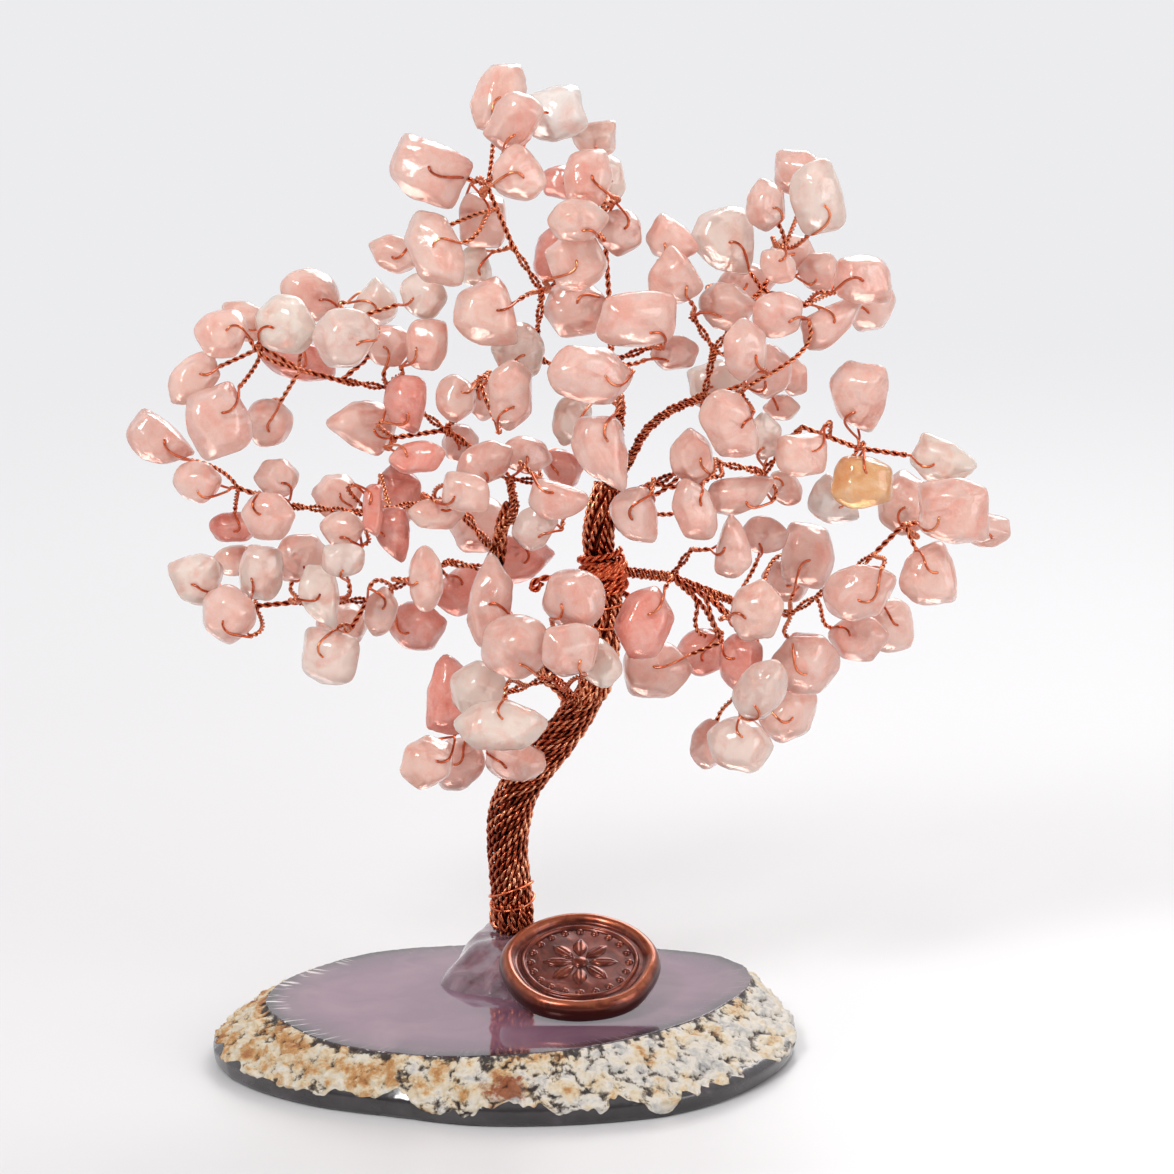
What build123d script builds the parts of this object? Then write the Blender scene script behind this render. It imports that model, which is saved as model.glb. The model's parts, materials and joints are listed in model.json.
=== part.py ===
from build123d import *
import math
import os
from typing import NamedTuple

import numpy as np

os.makedirs("parts", exist_ok=True)

# The picture that the tree was measured from, seen by an eye in front of the trunk
picture_px = 1174
picture_width = 255.2
eye_distance = 800.0
eye_elevation = 12.5
view_centre_x = 17.6
view_centre_z = 98.8
trunk_set_back = 22.0
depth_step = 1.0

# Agate slice
slice_length = 126.5
slice_depth = 92.0
slice_thickness = 12.0
slice_waist_height = 4.0
slice_foot_inset = 1.0
slice_stations = 44
rind_depth = 0.9

# Resin mound that the trunk is set in
mound_height = 7.5
mound_top_radius = 7.6
mound_shoulder_share = 0.55
mound_shoulder_height_share = 0.6
mound_stations = 24
mound_ripple = 0.5

# Wax seal
seal_radius = 17.2
seal_thickness = 3.4
seal_rim_width = 3.0
seal_rim_rise = 1.3
seal_ring_radius = 12.6
seal_ring_width = 0.8
seal_relief = 0.6
seal_tilt = 19.1
seal_clearance = 0.15
seal_stations = 30
seal_wave = 0.16
petal_count = 8
petal_length = 6.4
petal_width = 3.0
petal_centre_radius = 5.0
petal_points = 4
seal_button_radius = 1.7
bead_count = 20
bead_radius = 0.7
bead_circle_radius = 10.6

# Wires and twisted cords, each cord of a bough as a share of the rope's radius
rope_radius = 1.0
cord_radius = 0.65
twig_radius = 0.56
wire_radius = 0.30
binding_radius = 0.36
seat_gap = 0.08

# Trunk
foot_rise = 0.45
core_gap = 0.5
trunk_core_radius = 2.75
trunk_upper_core_radius = 2.1
trunk_top_radius = 1.5
strand_gap = 0.1
lay_slack = 0.4
lower_strand_count = 14
lower_strand_lay = 31.0
upper_strand_count = 9
upper_strand_turns = 0.45
turn_points = 8
knot_turns = 5
knot_pitch = 2.0
binding_turns = 2
binding_pitch = 2.6
limb_strand_count = 4
limb_strand_radius = 1.15
limb_turns = 1.6

# Stones
stone_depth_share = 0.62
stone_least_depth = 3.6
stone_most_depth = 8.0
stone_face_share = 0.64
stone_gap = 0.35
hole_width = 0.9
hole_place_share = 0.22
stone_tilt = 22.0
tier_step = 18.0
depth_try = 1.2

# Where each wire loop stands off its stone
loop_lift = 0.44
loop_reach = 1.1
loop_spread = 0.34
short_reach = 3.2

# How far a twig goes straight before it turns, and how wide its ways round may be
twig_straight = 2.8
detour_reach = 20.0
attach_step = 4.0

# How far a bough is bent up and down by hand
bend_limit = 5.0
sweep_gap = 0.3
root_gap = 0.42
root_slide = 5.0

mm_per_px = picture_width / picture_px
centre_px = picture_px / 2
look_cos = math.cos(math.radians(eye_elevation))
look_sin = math.sin(math.radians(eye_elevation))
golden_angle = math.pi * (3 - math.sqrt(5))
UP = np.array([0.0, 0.0, 1.0])


def ray(x_px, y_px):
    """The direction in which a picture place is seen, one eye distance long."""
    across = (x_px - centre_px) * mm_per_px
    rise = (centre_px - y_px) * mm_per_px
    forward = eye_distance * look_cos + rise * look_sin
    return np.array([across, forward, rise * look_cos - eye_distance * look_sin])


def eye():
    """The place of the eye."""
    return np.array([view_centre_x,
                     trunk_set_back - eye_distance * look_cos,
                     view_centre_z + eye_distance * look_sin])


def place(x_px, y_px, depth):
    """The point seen at a picture place, on the upright plane that far behind the trunk."""
    line = ray(x_px, y_px)
    return eye() + line * (eye_distance * look_cos + depth) / line[1]


def stand(x_px, y_px, steps):
    """The point seen at a picture place, that many depth steps behind the trunk."""
    return place(x_px, y_px, steps * depth_step)


def place_level(x_px, y_px, level):
    """The point seen at a picture place, at a height above the ground."""
    line = ray(x_px, y_px)
    return eye() + line * (level - eye()[2]) / line[2]


def unit(vector):
    """The same direction at a length of one."""
    return vector / np.linalg.norm(vector)


def polygon_wire(points):
    """A closed wire through points."""
    return Wire.make_polygon([Vector(*point) for point in points], close=True)


def ring_solid(rings):
    """A flat-sided solid through rings of as many points, closed by its first and last."""
    faces = [Face(polygon_wire(rings[0])), Face(polygon_wire(rings[-1]))]
    count = len(rings[0])
    for low, high in zip(rings, rings[1:]):
        for k in range(count):
            j = (k + 1) % count
            faces.append(Face(polygon_wire((low[k], low[j], high[j], high[k]))))
    return Solid(Shell(faces))


def rough_solid(rings):
    """A solid through uneven rings of as many points, its sides split into triangles."""
    faces = [Face(polygon_wire(rings[0])), Face(polygon_wire(rings[-1]))]
    count = len(rings[0])
    for low, high in zip(rings, rings[1:]):
        for k in range(count):
            j = (k + 1) % count
            faces.append(Face(polygon_wire((low[k], low[j], high[j]))))
            faces.append(Face(polygon_wire((low[k], high[j], high[k]))))
    return Solid(Shell(faces))


def cord_rings(route, radius, sides):
    """The mitred rings of a many-sided cord along straight runs."""
    heading = unit(route[1] - route[0])
    across = unit(np.cross(heading, UP if abs(heading[2]) < look_cos else np.array([1.0, 0.0, 0.0])))
    over = np.cross(heading, across)
    ring = []
    for k in range(sides):
        turn = 2 * math.pi * (k + 1 / 2) / sides
        ring.append(route[0] + radius * (math.cos(turn) * across + math.sin(turn) * over))
    rings = [ring]
    for i in range(1, len(route)):
        ahead = unit(route[i + 1] - route[i]) if i + 1 < len(route) else heading
        mitre = unit(heading + ahead)
        moved = []
        for point in rings[-1]:
            reach = np.dot(route[i] - point, mitre) / np.dot(heading, mitre)
            moved.append(point + heading * reach)
        rings.append(moved)
        heading = ahead
    return rings


def cord(route, radius, sides=4):
    """A many-sided cord along straight runs, as one solid."""
    return ring_solid(cord_rings(route, radius, sides))


def run_hulls(route, radius):
    """For each run of a cord, corners that hold it with its mitres."""
    sides = 8
    rings = cord_rings(route, radius / math.cos(math.pi / sides), sides)
    return [low + high for low, high in zip(rings, rings[1:])]


class Guide:
    """A smooth line through picture places, with a steady frame along it."""

    def __init__(self, places, steps=60):
        curve = Spline(*[Vector(*stand(*spot)) for spot in places])
        self.points = [np.array(tuple(curve @ (i / steps))) for i in range(steps + 1)]
        lengths = [np.linalg.norm(b - a) for a, b in zip(self.points, self.points[1:])]
        self.marks = np.concatenate(([0.0], np.cumsum(lengths)))
        self.length = self.marks[-1]

    def at(self, distance):
        """The point, the heading and two directions across, at a distance along the line."""
        distance = min(max(distance, 0.0), self.length)
        i = min(int(np.searchsorted(self.marks, distance, side="right")), len(self.points) - 1)
        before, after = self.points[i - 1], self.points[i]
        share = (distance - self.marks[i - 1]) / (self.marks[i] - self.marks[i - 1])
        heading = unit(self.points[min(i + 1, len(self.points) - 1)] - self.points[max(i - 2, 0)])
        across = unit(np.cross(np.array([0.0, 1.0, 0.0]), heading))
        over = np.cross(heading, across)
        return before + (after - before) * share, heading, across, over

    def clearance(self, point, radius_at):
        """How far a point lies outside a round sheath on the line, closed by a flat end."""
        best = int(np.argmin([np.linalg.norm(point - spot) for spot in self.points]))
        spot = self.points[best]
        heading = unit(self.points[min(best + 1, len(self.points) - 1)] - self.points[max(best - 1, 0)])
        beyond = np.dot(point - spot, heading)
        aside = np.linalg.norm(point - spot - heading * beyond)
        radius = max(radius_at(self.marks[best] + shift) for shift in (-cord_radius, 0.0, cord_radius))
        if best + 1 == len(self.points):
            return max(beyond, aside - radius)
        return aside - radius

    def distance_at_height(self, y_px):
        """The distance along the line at which it is seen at a picture height."""
        best = min(range(len(self.points)), key=lambda i: abs(seen_height(self.points[i]) - y_px))
        return self.marks[best]


def seen_height(point):
    """The picture height, in pixels, at which a point is seen."""
    gap = point - eye()
    forward = gap[1] * look_cos - gap[2] * look_sin
    rise = gap[1] * look_sin + gap[2] * look_cos
    return centre_px - rise / forward * eye_distance / mm_per_px


def helix(guide, start, end, radius, turns, points, phase):
    """A route that winds round a guide line between two distances."""
    route = []
    for i in range(points + 1):
        share = i / points
        centre, _, across, over = guide.at(start + (end - start) * share)
        swing = phase + 2 * math.pi * turns * share
        route.append(centre + radius * (math.cos(swing) * across + math.sin(swing) * over))
    return route


def least_gap(route, radius, skip):
    """The least clear gap between turns of one cord, measured on the middles of its runs."""
    middles = np.array([(a + b) / 2 for a, b in zip(route, route[1:])])
    least = math.inf
    for i in range(len(middles) - skip):
        away = np.linalg.norm(middles[i + skip:] - middles[i], axis=1).min()
        least = min(least, away)
    return least - 2 * radius


class Crowd:
    """What already hangs in the tree, and whether a new piece hangs clear of it.

    Pieces are compared by their shadows in many directions. Pieces of two boughs are
    compared with all that each sweeps through while it is bent up and down.
    """

    most = 4000

    def __init__(self, direction_count=60):
        turns = [golden_angle * k for k in range(direction_count)]
        heights = [(k + 1 / 2) / direction_count for k in range(direction_count)]
        spread = [(math.cos(t) * math.sqrt(1 - z * z), math.sin(t) * math.sqrt(1 - z * z), z)
                  for t, z in zip(turns, heights)]
        self.directions = np.array(spread + [(1.0, 0.0, 0.0), (0.0, 1.0, 0.0), (0.0, 0.0, 1.0)])
        size = (self.most, len(self.directions))
        self.low, self.high = np.zeros(size), np.zeros(size)
        self.swept_low, self.swept_high = np.zeros(size), np.zeros(size)
        self.bough = np.zeros(self.most, dtype=int)
        self.names = []
        self.roots = {}
        self.count = 0

    def shadows(self, points):
        """The least and most reach of points in every direction."""
        reach = np.asarray(points) @ self.directions.T
        return reach.min(axis=0), reach.max(axis=0)

    def sweep(self, points, bough):
        """The points at every bend of their bough."""
        if bough not in self.roots:
            return points
        root = self.roots[bough]
        arm = np.asarray(points) - root
        swept = []
        for share in (-1.0, -0.5, 0.0, 0.5, 1.0):
            turn = math.radians(bend_limit) * share
            x = arm[:, 0] * math.cos(turn) + arm[:, 2] * math.sin(turn)
            z = arm[:, 2] * math.cos(turn) - arm[:, 0] * math.sin(turn)
            swept.append(np.stack((x, arm[:, 1], z), axis=1) + root)
        return np.concatenate(swept)

    def blockers(self, points, bough, gap, skip=()):
        """The numbers of the pieces that a new piece would come too near to."""
        n = self.count
        low, high = self.shadows(points)
        clear = ((self.low[:n] > high + gap) | (self.high[:n] < low - gap)).any(axis=1)
        low, high = self.shadows(self.sweep(points, bough))
        wide = sweep_gap
        swept = ((self.swept_low[:n] > high + wide) | (self.swept_high[:n] < low - wide)).any(axis=1)
        free = np.where(self.bough[:n] == bough, clear, swept)
        return [i for i in np.flatnonzero(~free) if i not in skip]

    def near(self, points, others, gap):
        """Whether two sets of points come nearer than a gap."""
        low, high = self.shadows(points)
        other_low, other_high = self.shadows(others)
        return not ((other_low > high + gap) | (other_high < low - gap)).any()

    def add(self, name, points, bough):
        """Keeps a piece, and gives back its number."""
        i = self.count
        self.low[i], self.high[i] = self.shadows(points)
        self.swept_low[i], self.swept_high[i] = self.shadows(self.sweep(points, bough))
        self.bough[i] = bough
        self.names.append(name)
        self.count += 1
        return i


# Agate slice, its mound and its seal, by picture places on the polished face and round the foot
polished_edge_px = (
    (294, 976), (270, 992), (268, 1008), (290, 1024), (330, 1042), (380, 1051),
    (440, 1056), (510, 1054), (582, 1047), (640, 1035), (690, 1020), (730, 1000),
    (750, 972), (724, 957), (660, 949), (560, 944), (470, 945), (370, 953),
)
slice_edge_shares = (
    (-1.00, 0.00), (-0.95, -0.33), (-0.79, -0.59), (-0.57, -0.78), (-0.33, -0.89),
    (-0.13, -0.98), (0.06, -1.00), (0.32, -0.96), (0.57, -0.85), (0.77, -0.63),
    (0.92, -0.33), (1.00, 0.04), (0.97, 0.37), (0.88, 0.63), (0.70, 0.83),
    (0.33, 0.97), (-0.14, 1.00), (-0.52, 0.87), (-0.79, 0.61), (-0.94, 0.30),
)
mound_edge_px = (
    (440, 982), (470, 962), (520, 952), (580, 954), (640, 968), (652, 990),
    (620, 1004), (560, 1002), (500, 998),
)
seal_centre_px = (580, 962)


class Outline:
    """A smooth closed outline seen from above, as a radius at every bearing."""

    def __init__(self, spots, centre=(0.0, 0.0), samples=240):
        curve = Spline(*[Vector(float(x), float(y), 0.0) for x, y in spots], periodic=True)
        self.centre = np.array(centre)
        arms = np.array([tuple(curve @ (i / samples))[:2] for i in range(samples)]) - self.centre
        self.bearings = np.arctan2(arms[:, 1], arms[:, 0])
        self.radii = np.linalg.norm(arms, axis=1)

    def radius(self, bearing):
        """The radius at a bearing."""
        return float(np.interp(bearing, *self.sorted(), period=2 * math.pi))

    def sorted(self):
        """Bearings and radii in the order of the bearings."""
        order = np.argsort(self.bearings)
        return self.bearings[order], self.radii[order]

    def point(self, bearing, radius, level):
        """The point at a bearing, a radius and a level."""
        return np.array([self.centre[0] + radius * math.cos(bearing),
                         self.centre[1] + radius * math.sin(bearing), level])


def ripple(bearing, seed):
    """An uneven swell round an outline, between about -1 and 1."""
    return (math.sin(7 * bearing + seed) + math.sin(13 * bearing + 2 * seed)
            + math.sin(23 * bearing + 3 * seed)) / 3


def agate_slice():
    """A sawn stone slice: an upright foot band, a knobbly rind that slopes in, a flat polished face."""
    half_length, half_depth = slice_length / 2, slice_depth / 2
    foot = Outline([(x_share * half_length, y_share * half_depth) for x_share, y_share in slice_edge_shares])
    face = Outline([place_level(*spot, slice_thickness)[:2] for spot in polished_edge_px])
    rind_height = slice_thickness - slice_waist_height
    rings = []
    for share, level_share, rough in ((None, 0.0, 0.0), (0.0, 0.0, 0.0), (0.3, 0.38, 1.0),
                                      (0.72, 0.78, 1.0), (1.0, 1.0, 0.0)):
        ring = []
        for k in range(slice_stations):
            bearing = 2 * math.pi * k / slice_stations
            wide, top = foot.radius(bearing), face.radius(bearing)
            if share is None:
                ring.append(foot.point(bearing, wide - slice_foot_inset, 0.0))
                continue
            swell = rough * rind_depth * ripple(bearing, level_share)
            level = slice_waist_height + level_share * rind_height
            ring.append(foot.point(bearing, wide * (1 - share) + top * share + swell, level + swell / 2))
        rings.append(ring)
    return rough_solid(rings)


def seal_plane():
    """The plane under the seal, its middle at the seal's middle, facing the viewer."""
    edge_rise = seal_radius * math.sin(math.radians(seal_tilt))
    top = place_level(*seal_centre_px, slice_thickness + edge_rise + seal_thickness)
    tilt = math.radians(seal_tilt)
    normal = Vector(0.0, -math.sin(tilt), math.cos(tilt))
    middle = Vector(*top) - normal * seal_thickness
    return Plane(middle, x_dir=(1, 0, 0), z_dir=normal)


def wax_seal():
    """A poured wax disc with a raised rim, a ring, and a stamped rosette in a circle of beads."""
    outer, inner = seal_radius, seal_radius - seal_rim_width
    rim_top, ring_top = seal_thickness + seal_rim_rise, seal_thickness + seal_relief
    profile = (
        (outer - seal_rim_rise, 0.0), (outer, seal_rim_rise), (outer, seal_thickness),
        (outer - seal_rim_rise, rim_top), (inner + seal_rim_rise / 2, rim_top), (inner, seal_thickness),
        (seal_ring_radius, seal_thickness), (seal_ring_radius, ring_top),
        (seal_ring_radius - seal_ring_width, ring_top), (seal_ring_radius - seal_ring_width, seal_thickness),
    )
    rings = []
    for radius, level in profile:
        ring = []
        for k in range(seal_stations):
            bearing = 2 * math.pi * k / seal_stations
            reach = radius + seal_wave * math.sin(5 * bearing) * radius / outer
            ring.append(np.array([reach * math.cos(bearing), reach * math.sin(bearing), level]))
        rings.append(ring)
    half = [(petal_length * (i / petal_points - 1 / 2), petal_width / 2 * math.sin(math.pi * i / petal_points))
            for i in range(petal_points + 1)]
    leaf = half + [(x, -y) for x, y in reversed(half[1:-1])]
    with BuildPart() as stamp:
        with BuildSketch(Plane.XY.offset(seal_thickness - seal_relief)):
            RegularPolygon(seal_button_radius, 10)
            with PolarLocations(petal_centre_radius, petal_count):
                Polygon(*leaf, align=None)
            with PolarLocations(bead_circle_radius, bead_count):
                RegularPolygon(bead_radius, 5)
        extrude(amount=2 * seal_relief)
    return seal_plane().location * (Part(rough_solid(rings).wrapped) + stamp.part)


def resin_mound():
    """The lump of clear resin round the trunk's foot, with a bed for the seal."""
    foot = stand(*trunk_places[0])
    edge = Outline([place_level(*spot, slice_thickness)[:2] for spot in mound_edge_px], foot[:2])
    rings = []
    for share, level_share, rough in ((0.0, 0.0, 0.0), (mound_shoulder_share, mound_shoulder_height_share, 1.0),
                                      (1.0, 1.0, 0.0)):
        ring = []
        for k in range(mound_stations):
            bearing = 2 * math.pi * k / mound_stations
            swell = rough * mound_ripple * ripple(bearing, mound_shoulder_share)
            reach = edge.radius(bearing) * (1 - share) + mound_top_radius * share + swell
            ring.append(edge.point(bearing, reach, slice_thickness + mound_height * level_share))
        rings.append(ring)
    bed = Box(4 * seal_radius, 2 * seal_radius, 2 * seal_radius,
              align=(Align.CENTER, Align.CENTER, Align.MIN))
    return Part(rough_solid(rings).wrapped) - seal_plane().offset(-seal_clearance).location * bed


# Trunk: picture places and depths of its middle line, and of the limb at its left
trunk_places = (
    (515, 930, 4.0), (510, 880, 4.0), (508, 830, 3.0), (518, 790, 2.0), (545, 755, 1.0),
    (576, 715, 0.0), (597, 680, 0.0), (605, 640, 0.0), (606, 600, 0.0), (602, 565, 0.0),
    (598, 535, 0.0), (604, 505, 0.0), (612, 475, 0.0), (618, 442, 0.0),
)
limb_places = (
    (565, 694, 2.0), (540, 668, 4.0), (513, 632, 4.0), (498, 592, 3.0), (498, 550, 2.0),
    (503, 522, 2.0), (511, 504, 2.0),
)
shoulder_px = 692
strand_top_px = 482
knot_px = 572
foot_binding_px = 898
high_binding_px = 616


class Stone(NamedTuple):
    """One stone: its picture place and size, its turn, how far back it hangs, its shape."""
    x: float
    y: float
    length: float
    width: float
    turn: float
    tier: float
    kind: str = "oval"


stone_shares = {
    "oval": ((1.00, 0.16), (0.44, 0.96), (-0.48, 0.96), (-1.00, 0.10), (-0.56, -0.92),
             (0.50, -0.96)),
    "block": ((1.00, 0.62), (0.40, 1.00), (-0.84, 0.94), (-1.00, -0.50), (-0.36, -1.00),
              (0.86, -0.92)),
    "wedge": ((1.00, 0.10), (0.14, 0.78), (-0.76, 1.00), (-1.00, -0.30), (-0.50, -0.96),
              (0.40, -0.78)),
    "shard": ((1.00, 0.00), (0.20, 0.64), (-0.72, 1.00), (-1.00, 0.28), (-0.72, -0.86),
              (0.15, -1.00)),
}


class Bough(NamedTuple):
    """One bough: where it is bent, its forks, the cords between them, and its stones."""
    name: str
    root: tuple
    forks: dict
    cords: tuple
    stones: tuple


def fork_cord(start, end, radius_share, *bends):
    """One cord of a bough: the forks that it joins, its radius and its bends."""
    return start, end, radius_share * rope_radius, bends


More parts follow.
